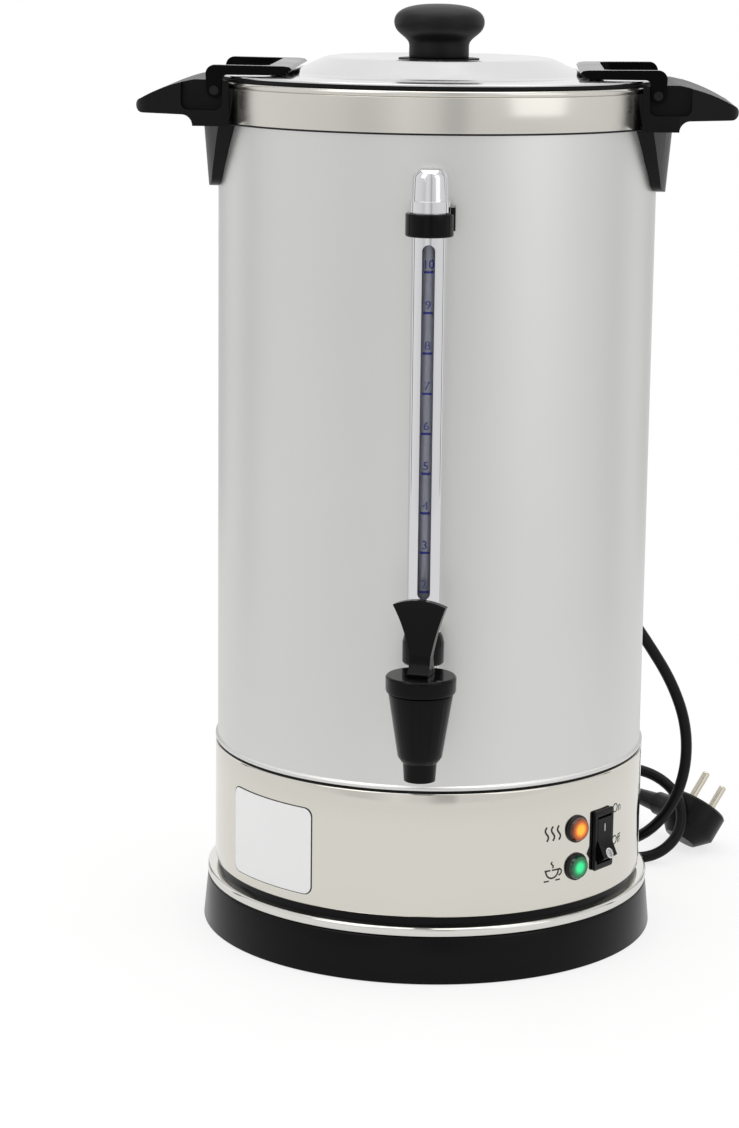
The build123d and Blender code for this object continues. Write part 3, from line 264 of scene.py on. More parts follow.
def ride_as(piece: bpy.types.Object, slot: str, *nodes: str) -> bpy.types.Object:
    """Hide the CAD nodes that a piece stands for.

    Args:
        piece: the piece.
        slot: not used.
        nodes: the CAD nodes that the piece replaces, if any.

    Returns:
        The same piece.
    """
    if nodes:
        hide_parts(*nodes)
    return piece


def bent_points(start: Point, start_handle: Point, end_handle: Point, end: Point,
                count: int) -> list[Point]:
    """Points along one Bezier stretch of an outline, without its last point.

    Args:
        start: first (radius, height).
        start_handle: first handle.
        end_handle: second handle.
        end: last (radius, height).
        count: how many points to give.

    Returns:
        The points as (radius, height) pairs.
    """
    corners = [Vector((p[0], p[1], 0)) for p in (start, start_handle, end_handle, end)]
    return [(p.x, p.y) for p in geometry.interpolate_bezier(*corners, count + 1)[:-1]]


def oval_points(centre: Point, radii: Point, start: float, end: float, steps: int) -> list[Point]:
    """Points along a stretch of an oval, both its ends among them.

    Args:
        centre: the oval's middle.
        radii: its half width and half height.
        start: where the stretch starts, in radians anticlockwise from the right.
        end: where it ends.
        steps: how many equal turns it takes.

    Returns:
        The points as (x, y) pairs.
    """
    turns = [start + (end - start) * index / steps for index in range(steps + 1)]
    return [(centre[0] + radii[0] * math.cos(turn), centre[1] + radii[1] * math.sin(turn)) for turn in turns]


def wave_points(foot: Point, sway: float, height: float, steps: int) -> list[Point]:
    """Points up a line that sways through one full wave.

    Args:
        foot: the line's lower end.
        sway: how far it leans to each side.
        height: how high it rises.
        steps: how many equal rises it takes.

    Returns:
        The points as (x, y) pairs.
    """
    shares = [index / steps for index in range(steps + 1)]
    return [(foot[0] + sway * math.sin(2 * math.pi * share), foot[1] + height * share) for share in shares]


def on_wall(radius: float, turn_deg: float, height: float) -> Matrix:
    """Place on an upright wall: x along the wall, y up, z outwards, in metres.

    Args:
        radius: the wall's radius in millimetres.
        turn_deg: angle from the front towards the right-hand side.
        height: height in millimetres.

    Returns:
        The place as a 4 by 4 matrix.
    """
    turn = math.radians(turn_deg)
    spin = Matrix.Rotation(turn, 4, "Z") @ Matrix.Rotation(math.pi / 2, 4, "X")
    spot = Vector((math.sin(turn), -math.cos(turn), 0)) * radius * MM + Vector((0, 0, height * MM))
    return Matrix.Translation(spot) @ spin


def wrap_on_wall(form: Form, radius: float, turn_deg: float, height: float, axis_y: float = 0.0) -> Form:
    """Bend a flat shape, drawn in metres in x and y with its thickness in z, round an upright wall.

    Args:
        form: the flat shape; it is changed in place.
        radius: the wall's radius in millimetres.
        turn_deg: angle of the shape's middle from the front towards the right-hand side.
        height: height of the shape's middle in millimetres.
        axis_y: y of the wall's axis in millimetres.

    Returns:
        The same shape.
    """
    for vert in form.verts:
        turn = math.radians(turn_deg) + vert.co.x / (radius * MM)
        reach = radius * MM + vert.co.z
        vert.co = Vector((math.sin(turn) * reach, axis_y * MM - math.cos(turn) * reach,
                          height * MM + vert.co.y))
    return form


def lettering(text: str, size_mm: float, depth_mm: float) -> Form:
    """Make flat print of some characters, centred on its own origin.

    Args:
        text: the characters.
        size_mm: letter size.
        depth_mm: print thickness.

    Returns:
        The print as a shape in metres.
    """
    curve = bpy.data.curves.new("print_outline", "FONT")
    curve.body = text
    curve.size = size_mm * MM
    curve.extrude = depth_mm * MM / 2
    curve.align_x = "CENTER"
    curve.align_y = "CENTER"
    source = linked("print_outline", curve)
    mesh = bpy.data.meshes.new_from_object(source.evaluated_get(bpy.context.evaluated_depsgraph_get()))
    form = bmesh.new()
    form.from_mesh(mesh)
    bmesh.ops.remove_doubles(form, verts=form.verts, dist=WELD)
    bpy.data.meshes.remove(mesh)
    bpy.data.objects.remove(source)
    bpy.data.curves.remove(curve)
    return form


def thickened(form: Form, depth_mm: float) -> Form:
    """Raise flat print or plate to its thickness.

    Args:
        form: the flat shape; it is changed in place.
        depth_mm: thickness.

    Returns:
        The same shape with its faces pointing outwards.
    """
    lifted = bmesh.ops.extrude_face_region(form, geom=form.faces[:])
    upper = [g for g in lifted["geom"] if isinstance(g, bmesh.types.BMVert)]
    bmesh.ops.translate(form, verts=upper, vec=(0, 0, depth_mm * MM))
    bmesh.ops.recalc_face_normals(form, faces=form.faces)
    return form


def bar(width_mm: float, height_mm: float, depth_mm: float, columns: int) -> Form:
    """Flat bar or plate centred on its origin, divided across so that it can bend.

    Args:
        width_mm: size along x.
        height_mm: size along y.
        depth_mm: thickness.
        columns: divisions across its width.

    Returns:
        The bar as a shape in metres.
    """
    form = bmesh.new()
    bmesh.ops.create_grid(form, x_segments=columns, y_segments=1, size=0.5)
    bmesh.ops.scale(form, verts=form.verts, vec=(width_mm * MM, height_mm * MM, 1))
    return thickened(form, depth_mm)


def stroke(points: Sequence[Point], width_mm: float, depth_mm: float) -> Form:
    """Flat printed stroke of even width along a bent line.

    Args:
        points: the line's points in millimetres.
        width_mm: stroke width.
        depth_mm: print thickness.

    Returns:
        The stroke as a shape in metres.
    """
    form = bmesh.new()
    line = [Vector((x * MM, y * MM, 0)) for x, y in points]
    edges = []
    for side in (-0.5, 0.5):
        row = []
        for index, point in enumerate(line):
            ahead = line[min(index + 1, len(line) - 1)] - line[max(index - 1, 0)]
            across = Vector((-ahead.y, ahead.x, 0)).normalized()
            row.append(form.verts.new(point + across * side * width_mm * MM))
        edges += [form.edges.new(pair) for pair in zip(row, row[1:])]
    bmesh.ops.bridge_loops(form, edges=edges)
    return thickened(form, depth_mm)


def joined(forms: Iterable[Form]) -> Form:
    """Join several shapes into one.

    Args:
        forms: the shapes; each is freed.

    Returns:
        One shape that holds them all.
    """
    whole = bmesh.new()
    for form in forms:
        carrier = bpy.data.meshes.new("carrier")
        form.to_mesh(carrier)
        form.free()
        whole.from_mesh(carrier)
        bpy.data.meshes.remove(carrier)
    return whole


# ------------------------------------------------------------------ places that sub-assemblies share
@dataclass(frozen=True)
class SharedPlaces:
    """Sizes and places that more than one class reads, in millimetres and degrees."""

    tank_radius: float = 125.0
    housing_radius: float = 126.3
    switch_turn: float = 53.6
    switch_height: float = 70.2
    lamp_turn: float = 43.5
    lamp_face: float = 129.72
    amber_height: float = 80.5
    green_height: float = 58.3
    sheet_gap: float = 0.05


SHARED = SharedPlaces()


# ------------------------------------------------------------------ finishes
@dataclass(frozen=True)
class SurfaceFinish:
    """What every finish has: a name, and a shader that reads the piece's own coordinates."""

    name: str

    def make(self) -> bpy.types.Material:
        """Build the material.

        Returns:
            The material.
        """
        material = bpy.data.materials.new(self.name)
        material.use_nodes = True
        tree = material.node_tree
        tree.nodes.clear()
        output = add_node(tree, "ShaderNodeOutputMaterial")
        place = add_node(tree, "ShaderNodeTexCoord").outputs["Object"]
        tree.links.new(self.shader(tree, place).outputs[0], output.inputs["Surface"])
        return material

    def shader(self, tree: bpy.types.NodeTree, place: bpy.types.NodeSocket) -> bpy.types.Node:
        """Add the finish's nodes.

        Args:
            tree: the material's node tree.
            place: the piece's own coordinates in metres.

        Returns:
            The shader node.
        """
        raise NotImplementedError


@dataclass(frozen=True)
class SatinSteel(SurfaceFinish):
    """Metal sheet, bar or wire brushed or turned round its axis."""

    tint: str
    roughness: float
    line_mm: float = 0.35
    depth_mm: float = 0.0012
    stroke_mm: float = 111.0
    cloud_mm: float = 143.0

    def shader(self, tree: bpy.types.NodeTree, place: bpy.types.NodeSocket) -> bpy.types.Node:
        """Add brush lines, slow clouds of tone and a metal shader.

        Args:
            tree: the material's node tree.
            place: the piece's own coordinates in metres.

        Returns:
            The shader node.
        """
        # Hair-fine lines that run round the wall spread each highlight up and down.
        along, across = per_metre(self.stroke_mm), per_metre(self.line_mm)
        stretch = add_node(tree, "ShaderNodeMapping", {"Scale": (along, along, across)}, {"Vector": place})
        lines = add_node(tree, "ShaderNodeTexNoise", {"Scale": 1.0, "Detail": 3.0, "Roughness": 0.6},
                         {"Vector": stretch.outputs["Vector"]})
        # Slow clouds of handling and rolling marks keep the sheet from looking like one flat grey.
        clouds = add_node(tree, "ShaderNodeTexNoise", {"Scale": per_metre(self.cloud_mm), "Detail": 2.0},
                          {"Vector": place})
        sheen = add_node(tree, "ShaderNodeMapRange",
                         {"To Min": self.roughness - 0.04, "To Max": self.roughness + 0.05},
                         {"Value": lines.outputs["Fac"]})
        tone = add_node(tree, "ShaderNodeMix", {"A": toned(self.tint, 0.95), "B": toned(self.tint, 1.03)},
                        {"Factor": clouds.outputs["Fac"]}, data_type="RGBA")
        relief = add_node(tree, "ShaderNodeBump", {"Strength": 0.35, "Distance": self.depth_mm * MM},
                          {"Height": lines.outputs["Fac"]})
        return add_node(tree, "ShaderNodeBsdfPrincipled", {"Metallic": 1.0, "Anisotropic": 0.45},
                        {"Base Color": tone.outputs["Result"], "Roughness": sheen.outputs["Result"],
                         "Normal": relief.outputs["Normal"]})


@dataclass(frozen=True)
class PolishedMetal(SurfaceFinish):
    """Mirror-polished steel or chrome plate with faint wipe marks."""

    tint: str
    roughness: float
    smudge_mm: float = 24.0
    depth_mm: float = 0.004
    ripple_mm: float = 35.7

    def shader(self, tree: bpy.types.NodeTree, place: bpy.types.NodeSocket) -> bpy.types.Node:
        """Add wipe marks, forming ripple and a metal shader.

        Args:
            tree: the material's node tree.
            place: the piece's own coordinates in metres.

        Returns:
            The shader node.
        """
        # Wipe marks: the mirror is a little duller in soft patches.
        wipes = add_node(tree, "ShaderNodeTexNoise",
                         {"Scale": per_metre(self.smudge_mm), "Detail": 4.0, "Distortion": 0.6},
                         {"Vector": place})
        gloss = add_node(tree, "ShaderNodeMapRange",
                         {"From Min": 0.35, "From Max": 0.75,
                          "To Min": self.roughness, "To Max": self.roughness + 0.06},
                         {"Value": wipes.outputs["Fac"]})
        # A trace of ripple from forming bends the reflected edges.
        ripple = add_node(tree, "ShaderNodeTexNoise", {"Scale": per_metre(self.ripple_mm), "Detail": 1.0},
                          {"Vector": place})
        relief = add_node(tree, "ShaderNodeBump", {"Strength": 0.3, "Distance": self.depth_mm * MM},
                          {"Height": ripple.outputs["Fac"]})
        return add_node(tree, "ShaderNodeBsdfPrincipled", {"Metallic": 1.0, "Base Color": colour(self.tint)},
                        {"Roughness": gloss.outputs["Result"], "Normal": relief.outputs["Normal"]})


@dataclass(frozen=True)
class MouldedPlastic(SurfaceFinish):
    """Moulded plastic, rubber or glazed ceramic with the texture of its mould."""

    tint: str
    roughness: float
    grain_mm: float = 0.5
    depth_mm: float = 0.01
    coat: float = 0.0
    specular: float = 0.3
    tone_spread: float = 0.2
    wear_mm: float = 45.5

    def shader(self, tree: bpy.types.NodeTree, place: bpy.types.NodeSocket) -> bpy.types.Node:
        """Add mould grain, worn patches and a plastic shader.

        Args:
            tree: the material's node tree.
            place: the piece's own coordinates in metres.

        Returns:
            The shader node.
        """
        # Spark-eroded mould grain breaks up the highlight.
        grain = add_node(tree, "ShaderNodeTexNoise", {"Scale": per_metre(self.grain_mm), "Detail": 2.0},
                         {"Vector": place})
        # Slow variation where hands and cloths have polished the skin.
        wear = add_node(tree, "ShaderNodeTexNoise", {"Scale": per_metre(self.wear_mm), "Detail": 3.0},
                        {"Vector": place})
        sheen = add_node(tree, "ShaderNodeMapRange",
                         {"To Min": self.roughness - 0.05, "To Max": self.roughness + 0.07},
                         {"Value": wear.outputs["Fac"]})
        tone = add_node(tree, "ShaderNodeMix", {"A": toned(self.tint, 1 - self.tone_spread),
                                                "B": toned(self.tint, 1 + self.tone_spread)},
                        {"Factor": wear.outputs["Fac"]}, data_type="RGBA")
        relief = add_node(tree, "ShaderNodeBump", {"Strength": 0.5, "Distance": self.depth_mm * MM},
                          {"Height": grain.outputs["Fac"]})
        return add_node(tree, "ShaderNodeBsdfPrincipled",
                        {"Coat Weight": self.coat, "Coat Roughness": 0.05,
                         "Specular IOR Level": self.specular},
                        {"Base Color": tone.outputs["Result"], "Roughness": sheen.outputs["Result"],
                         "Normal": relief.outputs["Normal"]})


@dataclass(frozen=True)
class LitLens(SurfaceFinish):
    """Translucent lamp lens with its lamp on: bright in the middle, dark at the moulded rim."""

    middle: str
    ring: str
    rim: str
    height: float
    stops: Point = (0.26, 0.52, 0.8)
    radius_mm: float = 8.4
    prism_mm: float = 1.43
    prism_depth_mm: float = 0.3

    def shader(self, tree: bpy.types.NodeTree, place: bpy.types.NodeSocket) -> bpy.types.Node:
        """Add the lamp's glow, the lens's prisms and a glossy shader.

        Args:
            tree: the material's node tree.
            place: the piece's own coordinates in metres.

        Returns:
            The shader node.
        """
        centre = on_wall(SHARED.lamp_face, SHARED.lamp_turn, self.height).translation
        offset = add_node(tree, "ShaderNodeVectorMath", {1: centre}, {0: place}, operation="SUBTRACT")
        reach = add_node(tree, "ShaderNodeVectorMath", links={0: offset.outputs["Vector"]},
                         operation="LENGTH")
        share = add_node(tree, "ShaderNodeMapRange", {"From Max": self.radius_mm * MM},
                         {"Value": reach.outputs["Value"]})
        # The lamp glows through the middle and the thick rim swallows it.
        glow = add_node(tree, "ShaderNodeValToRGB", links={"Fac": share.outputs["Result"]})
        fill_ramp(glow.color_ramp, list(zip(self.stops, (self.middle, self.ring, self.rim))))
        # Small prisms moulded inside the lens scatter the light.
        prisms = add_node(tree, "ShaderNodeTexVoronoi", {"Scale": per_metre(self.prism_mm)},
                          {"Vector": place})
        relief = add_node(tree, "ShaderNodeBump", {"Strength": 0.4, "Distance": self.prism_depth_mm * MM},
                          {"Height": prisms.outputs["Distance"]})
        return add_node(tree, "ShaderNodeBsdfPrincipled", {"Roughness": 0.12, "Coat Weight": 0.25,
                                                           "Coat Roughness": 0.03, "Emission Strength": 0.45},
                        {"Base Color": glow.outputs["Color"], "Emission Color": glow.outputs["Color"],
                         "Normal": relief.outputs["Normal"]})


@dataclass(frozen=True)
class ClearTube(SurfaceFinish):
    """Borosilicate gauge glass."""

    tint: str
    line_mm: float = 1.11
    line_length_mm: float = 250.0

    def shader(self, tree: bpy.types.NodeTree, place: bpy.types.NodeSocket) -> bpy.types.Node:
        """Add draw lines and a glass shader.

        Args:
            tree: the material's node tree.
            place: the piece's own coordinates in metres.

        Returns:
            The shader node.
        """
        # Faint draw lines run along the tube.
        across, along = per_metre(self.line_mm), per_metre(self.line_length_mm)
        stretch = add_node(tree, "ShaderNodeMapping", {"Scale": (across, across, along)}, {"Vector": place})
        draw = add_node(tree, "ShaderNodeTexNoise", {"Scale": 1.0, "Detail": 1.0},
                        {"Vector": stretch.outputs["Vector"]})
        gloss = add_node(tree, "ShaderNodeMapRange", {"To Min": 0.02, "To Max": 0.12},
                         {"Value": draw.outputs["Fac"]})
        return add_node(tree, "ShaderNodeBsdfPrincipled",
                        {"Base Color": colour(self.tint), "IOR": 1.47, "Transmission Weight": 0.75},
                        {"Roughness": gloss.outputs["Result"]})


@dataclass(frozen=True)
class PrintedInk(SurfaceFinish):
    """Screen-printed ink with slightly uneven cover."""

    tint: str
    pinhole_mm: float = 0.667

    def shader(self, tree: bpy.types.NodeTree, place: bpy.types.NodeSocket) -> bpy.types.Node:
        """Add the ink's uneven cover and a satin shader.

        Args:
            tree: the material's node tree.
            place: the piece's own coordinates in metres.

        Returns:
            The shader node.
        """
        # Pinholes of thin ink soften the solid colour.
        cover = add_node(tree, "ShaderNodeTexNoise", {"Scale": per_metre(self.pinhole_mm), "Detail": 2.0},
                         {"Vector": place})
        tone = add_node(tree, "ShaderNodeMix", {"A": colour(self.tint), "B": toned(self.tint, 1.25, 0.01)},
                        {"Factor": cover.outputs["Fac"]}, data_type="RGBA")
        return add_node(tree, "ShaderNodeBsdfPrincipled", {"Roughness": 0.5},
                        {"Base Color": tone.outputs["Result"]})


@dataclass(frozen=True)
class FloorPaper(SurfaceFinish):
    """Matt pale backdrop paper, lit so that it has no edge."""

    tint: str
    light_tint: str
    tooth_mm: float = 3.33
    seen_in_metal: float = 0.86
    near_glow: float = 0.74
    fade_from: float = 0.2
    fade_to: float = 0.8

    def shader(self, tree: bpy.types.NodeTree, place: bpy.types.NodeSocket) -> bpy.types.Node:
        """Add paper tooth, and a glow that hides the sheet's edge.

        Args:
            tree: the material's node tree.
            place: the sheet's own coordinates in metres.

        Returns:
            The shader node.
        """
        # Paper tooth keeps the sheet from being one flat value under the object's shadow.
        tooth = add_node(tree, "ShaderNodeTexNoise", {"Scale": per_metre(self.tooth_mm), "Detail": 2.0},
                         {"Vector": place})
        tone = add_node(tree, "ShaderNodeMix", {"A": colour(self.tint), "B": colour(self.light_tint)},
                        {"Factor": tooth.outputs["Fac"]}, data_type="RGBA")
        paper = add_node(tree, "ShaderNodeBsdfDiffuse", links={"Color": tone.outputs["Result"]})
        path = add_node(tree, "ShaderNodeLightPath").outputs
        # Metal sees the sheet a little greyer than the camera does, as in a tent that is lit from above.
        level = add_node(tree, "ShaderNodeMapRange", {"To Min": self.seen_in_metal, "To Max": 1.0},
                         {"Value": path["Is Camera Ray"]})
        glow = add_node(tree, "ShaderNodeEmission", links={"Strength": level.outputs["Result"]})
        seen = add_node(tree, "ShaderNodeMath", links={0: path["Is Camera Ray"], 1: path["Is Glossy Ray"]},
                        operation="MAXIMUM")
        clear = add_node(tree, "ShaderNodeMath",
                         links={0: seen.outputs["Value"], 1: path["Is Transmission Ray"]},
                         operation="MAXIMUM")
        # The sheet turns plain white away from the object, so that it has no edge.
        reach = add_node(tree, "ShaderNodeVectorMath", links={0: place}, operation="LENGTH")
        fade = add_node(tree, "ShaderNodeMapRange", {"From Min": self.fade_from, "From Max": self.fade_to,
                                                     "To Min": self.near_glow, "To Max": 1.0},
                        {"Value": reach.outputs["Value"]})
        share = add_node(tree, "ShaderNodeMath", links={0: clear.outputs["Value"], 1: fade.outputs["Result"]},
                         operation="MULTIPLY")
        return add_node(tree, "ShaderNodeMixShader",
                        links={0: share.outputs["Value"], 1: paper.outputs["BSDF"],
                               2: glow.outputs["Emission"]})


class Finish(Enum):
    """Every finish on the urn: name, tint and roughness, then the pattern's size and depth in millimetres."""

    TANK = SatinSteel("satin_stainless_sheet", "#E1E1DF", 0.36)
    RIM = SatinSteel("fine_brushed_rim_steel", "#DAD7D0", 0.17, 0.25)
    LID = PolishedMetal("polished_lid_steel", "#D8D8D8", 0.14)
    HOUSING = PolishedMetal("mirror_polished_housing_steel", "#DCD9D0", 0.05)
    TRIM = PolishedMetal("chromed_hoop", "#DEDDD8", 0.05)
    CHROME = PolishedMetal("chrome_plated_brass", "#E0E0E2", 0.04, 12.0, 0.002)
    BASE = MouldedPlastic("semi_gloss_base_plastic", "#040405", 0.2, 0.6, 0.004, specular=0.14)
    HANDLE = MouldedPlastic("grained_heatproof_plastic", "#070708", 0.36, 0.45, 0.012, specular=0.14)
    KNOB = MouldedPlastic("grained_knob_plastic", "#111112", 0.42, 0.45, 0.012, specular=0.2)
    CLAMP = MouldedPlastic("polished_clamp_plastic", "#040405", 0.16, 0.8, 0.002, specular=0.06)
    TAP = MouldedPlastic("semi_gloss_nylon", "#020203", 0.11, 0.6, 0.001, specular=0.14)
    SWITCH = MouldedPlastic("moulded_switch_nylon", "#070708", 0.3, 0.35, 0.004, specular=0.18)
    ROCKER = MouldedPlastic("rocker_nylon", "#060607", 0.18, 0.5, 0.002, specular=0.2)
    SHEATH = MouldedPlastic("flexible_rubber_sheath", "#070708", 0.34, 0.7, 0.006, specular=0.18)
    PLUG = MouldedPlastic("moulded_plug_rubber", "#060607", 0.32, 0.6, 0.006, specular=0.18)
    SILICONE = MouldedPlastic("food_grade_silicone", "#0C0C0D", 0.5, 0.4, 0.004, specular=0.15)
    PALE_SILICONE = MouldedPlastic("pale_silicone", "#8F8A82", 0.5, 0.4, 0.004)
    CERAMIC = MouldedPlastic("glazed_steatite", "#D9D3C6", 0.25, 1.2, 0.01, 0.4)
    SPUN = SatinSteel("spun_aluminium", "#CFCFCD", 0.33, 0.5)
    SCREW = SatinSteel("zinc_plated_steel", "#A9AAA8", 0.3, 0.3)
    PIVOT = SatinSteel("black_oxide_pins", "#2B2B2D", 0.32, 0.3)
    SPRING = SatinSteel("spring_wire", "#A6A6A4", 0.3, 0.2)
    VALVE = SatinSteel("turned_stainless_bar", "#B9B9B8", 0.25, 0.2)
    PLATE = SatinSteel("galvanised_sheet", "#8C8F90", 0.45, 2.5, 0.004)
    NUT = SatinSteel("machined_brass", "#C2AA6B", 0.28, 0.3)
    SHEATHED = SatinSteel("heat_stained_sheath", "#5A5652", 0.42, 0.6)
    THERMOSTAT = SatinSteel("pressed_aluminium", "#BEBEBE", 0.35, 0.8)
    PINS = PolishedMetal("nickel_plated_pins", "#CFC9BA", 0.16, 6.0, 0.002)
    GLASS = ClearTube("borosilicate_tube", "#DADCEA")
    AMBER = LitLens("amber_lamp_lens", "#FFA818", "#B45204", "#3C1602", SHARED.amber_height)
    GREEN = LitLens("green_lamp_lens", "#16D480", "#046C3E", "#022A1A", SHARED.green_height)
    BLUE_INK = PrintedInk("blue_gauge_ink", "#141E78")
    BLACK_INK = PrintedInk("black_screen_print", "#121212")
    WHITE_INK = PrintedInk("white_switch_print", "#D2D2D2")
    BADGE = MouldedPlastic("blank_white_enamel_plate", "#E4E4E4", 0.3, 1.5, 0.001, 0.2, tone_spread=0.02)
    BEZEL = MouldedPlastic("black_lamp_bezel", "#0E0C0B", 0.25, 0.5, 0.003)


class Palette:
    """Finishes made once and handed to every piece that has them."""

    def __init__(self) -> None:
        """Start with no finish made."""
        self._made: dict[Finish, bpy.types.Material] = {}

    def __getitem__(self, finish: Finish) -> bpy.types.Material:
        """Give a finish's material, which is made when it is first asked for.

        Args:
            finish: the finish.

        Returns:
            Its material.
        """
        if finish not in self._made:
            self._made[finish] = finish.value.make()
        return self._made[finish]


class SubAssembly:
    """Common ground of the urn's sub-assemblies.

    Args:
        palette: the finishes.
    """

    def __init__(self, palette: Palette) -> None:
        """Keep the finishes and start an empty list of pieces."""
        self.palette = palette
        self.pieces: list[bpy.types.Object] = []

    def added(self, name: str, form: Form, finish: Finish, body: str, slot: str, *nodes: str,
              smooth_deg: float = 35.0) -> bpy.types.Object:
        """Add a piece from its shape.

        Args:
            name: the piece's name.
            form: its shape in metres.
            finish: its finish.
            body: the body it rides on.
            slot: the record's material slot.
            nodes: the CAD nodes it replaces, if any.
            smooth_deg: edges sharper than this stay crisp.

        Returns:
            The piece.
        """
        piece = finish_mesh(name, form, self.palette[finish], body, smooth_deg)
        self.pieces.append(ride_as(piece, slot, *nodes))
        return piece

    def spun(self, name: str, outline: Sequence[Point], finish: Finish, body: str, slot: str, *nodes: str,
             steps: int = RING_FACES, smooth_deg: float = CRISP_DEG) -> bpy.types.Object:
        """Add a turned piece.

        Args:
            name: the piece's name.
            outline: closed (radius, height[, rounding]) outline in millimetres.
            finish: its finish.
            body: the body it rides on.
            slot: the record's material slot.
            nodes: the CAD nodes it replaces, if any.
            steps: faces round the turn.
            smooth_deg: edges sharper than this stay crisp.

        Returns:
            The piece.
        """
        form = turned_form(outline, steps)
        return self.added(name, form, finish, body, slot, *nodes, smooth_deg=smooth_deg)

    def moulded(self, node: str, finish: Finish, body: str, slot: str, rounding_mm: float = 0.0,
                segments: int = 2) -> bpy.types.Object:
        """Add a joined copy of a CAD node with its edges rounded.

        Args:
            node: the CAD node it replaces.
            finish: its finish.
            body: the body it rides on.
            slot: the record's material slot.
            rounding_mm: edge rounding, none where it is zero.
            segments: faces across the rounding.

        Returns:
            The piece.
        """
        form = merged_copy(node)
        piece = finish_mesh(f"{node}_finished", form, self.palette[finish], body, smooth_deg=CRISP_DEG)
        if rounding_mm:
            softened(piece, rounding_mm, segments)
        self.pieces.append(ride_as(piece, slot, node))
        return piece

    def dress_nodes(self, finish: Finish, *nodes: str) -> None:
        """Give CAD nodes that stay as they are a finish.

        Args:
            finish: the finish.
            nodes: the nodes' names.
        """
        for name in nodes:
            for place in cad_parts[name].material_slots:
                place.material = self.palette[finish]

    def build(self) -> None:
        """Make the sub-assembly's pieces."""

    def dress(self) -> None:
        """Finish the CAD nodes that the sub-assembly keeps."""


# ------------------------------------------------------------------ sub-assemblies
@dataclass(frozen=True)
class TankSizes:
    """Sizes of the tank, its rim band and the painted shade line under the band, in millimetres."""

    wall: float = 0.8
    top: float = 492.6
    skirt: float = 109.5
    turned_in: float = 3.5
    bead_radius: float = 126.4
    bead_height: float = 3.2
    floor: float = 126.0
    floor_thickness: float = 1.2
    floor_rise: float = 12.0
    floor_joint: float = 0.2
    well_radius: float = 34.0
    well_depth: float = 9.0
    well_slope: float = 5.0
    rim_radius: float = 128.7
    rim_low: float = 470.5
    rim_high: float = 494.0
    rim_bead: float = 3.1
    rim_fold: float = 1.2
    band_inset: float = 0.2
    groove_depth: float = 0.9
    groove_half: float = 0.3
    # Depth and height of the dark ring of painted shade at the band's lower edge.
    shade_line_depth: float = 0.3
    shade_line_height: float = 1.1
    floor_faces: int = 96


class TankAssembly(SubAssembly):
    """Tank, its floor and the brushed band round its rim."""

    sizes = TankSizes()

    def build(self) -> None:
        """Make the tank's shell, the rim band and the dark ring of painted shade under the band."""
        size = self.sizes
        inside = SHARED.tank_radius - size.wall
        self.added("tank_shell", joined([self._wall(inside), self._floor(inside)]), Finish.TANK, "urn",
                   "tank_steel", "tank")
        low, high, rim = size.rim_low, size.rim_high, size.rim_radius
        foot, half, band = high - size.rim_bead, size.groove_half, rim - size.band_inset
        sheet, sheet_top = SHARED.tank_radius + SHARED.sheet_gap, size.top + SHARED.sheet_gap
        self.spun("rim_band_brushed", [
            (sheet, low), (band, low, 0.5), (band, foot - 2 * half, 0.15),
            (rim - size.groove_depth, foot - half, 0.15), (rim - half, foot, 0.15),
            (rim, high - size.rim_bead / 2, 0.9), (rim - size.rim_fold, high, 0.7), (inside, high),
            (inside, sheet_top), (sheet, sheet_top),
        ], Finish.RIM, "urn", "rim_steel", "rim_band")
        # A thin dark ring in the pins' black finish at the band's lower edge is painted shade: it stands in
        # for the shade and dark reflection under the band's overhang.
        edge, shade_line_top = rim - size.shade_line_depth, low + size.shade_line_height
        self.spun("rim_painted_shade_line", [(edge, low), (rim, low, 0.3), (rim, shade_line_top, 0.3), (edge, shade_line_top)],
                  Finish.PIVOT, "urn", "rim_steel")

    def _wall(self, inside: float) -> Form:
        """Straight wall with a bead round its foot, turned in below it.

        Args:
            inside: the wall's inner radius in millimetres.

        Returns:
            The wall.
        """
        size = self.sizes
        radius, low, bead = SHARED.tank_radius, size.skirt, size.bead_height
        hem, hem_top = radius - size.turned_in, low + size.wall
        return turned_form([
            (hem, low), (radius, low), (size.bead_radius, low + bead / 4, 0.5),
            (size.bead_radius, low + bead * 3 / 4, 0.5), (radius, low + bead, 0.4), (radius, size.top),
            (inside, size.top), (inside, hem_top), (hem, hem_top),
        ], RING_FACES)

    def _floor(self, inside: float) -> Form:
        """Dished floor with the well that the percolator stands in.

        Args:
            inside: the wall's inner radius in millimetres.

        Returns:
            The floor.
        """
        size = self.sizes
        high, thick = size.floor, size.floor_thickness
        well, brim = high - size.well_depth, size.well_radius + size.well_slope
        corner = inside - size.floor_rise
        return turned_form([
            (0, well), (size.well_radius, well, 2.0), (brim, high, 2.0), (corner, high, 3.0),
            (inside, high + size.floor_rise), (inside - size.floor_joint, high + size.floor_rise - 2 * thick),
            (corner, high - thick, 2.0), (brim + thick, high - thick, 1.0),
            (size.well_radius + thick, well - thick, 1.0), (0, well - thick),
        ], size.floor_faces)


@dataclass(frozen=True)
class BaseSizes:
    """Sizes of the base ring, trim hoop and lower housing, in millimetres."""

    bottom_radius: float = 133.2
    top_radius: float = 130.6
    height: float = 26.6
    wall: float = 3.0
    trim_height: float = 5.5
    trim_radius: float = 130.9
    trim_rounding: float = 1.6
    spigot_radius: float = 125.0
    spigot_wall: float = 3.5
    spigot_step: float = 2.0
    spigot_top: float = 46.0
    ledge: float = 36.8
    housing_top: float = 108.6
    housing_wall: float = 1.0
    housing_faces: int = 256
    lip: float = 3.1
    flange: float = 5.3
    hole_half_width: float = 8.5
    hole_half_height: float = 15.8
    hole_reach: float = 6.0


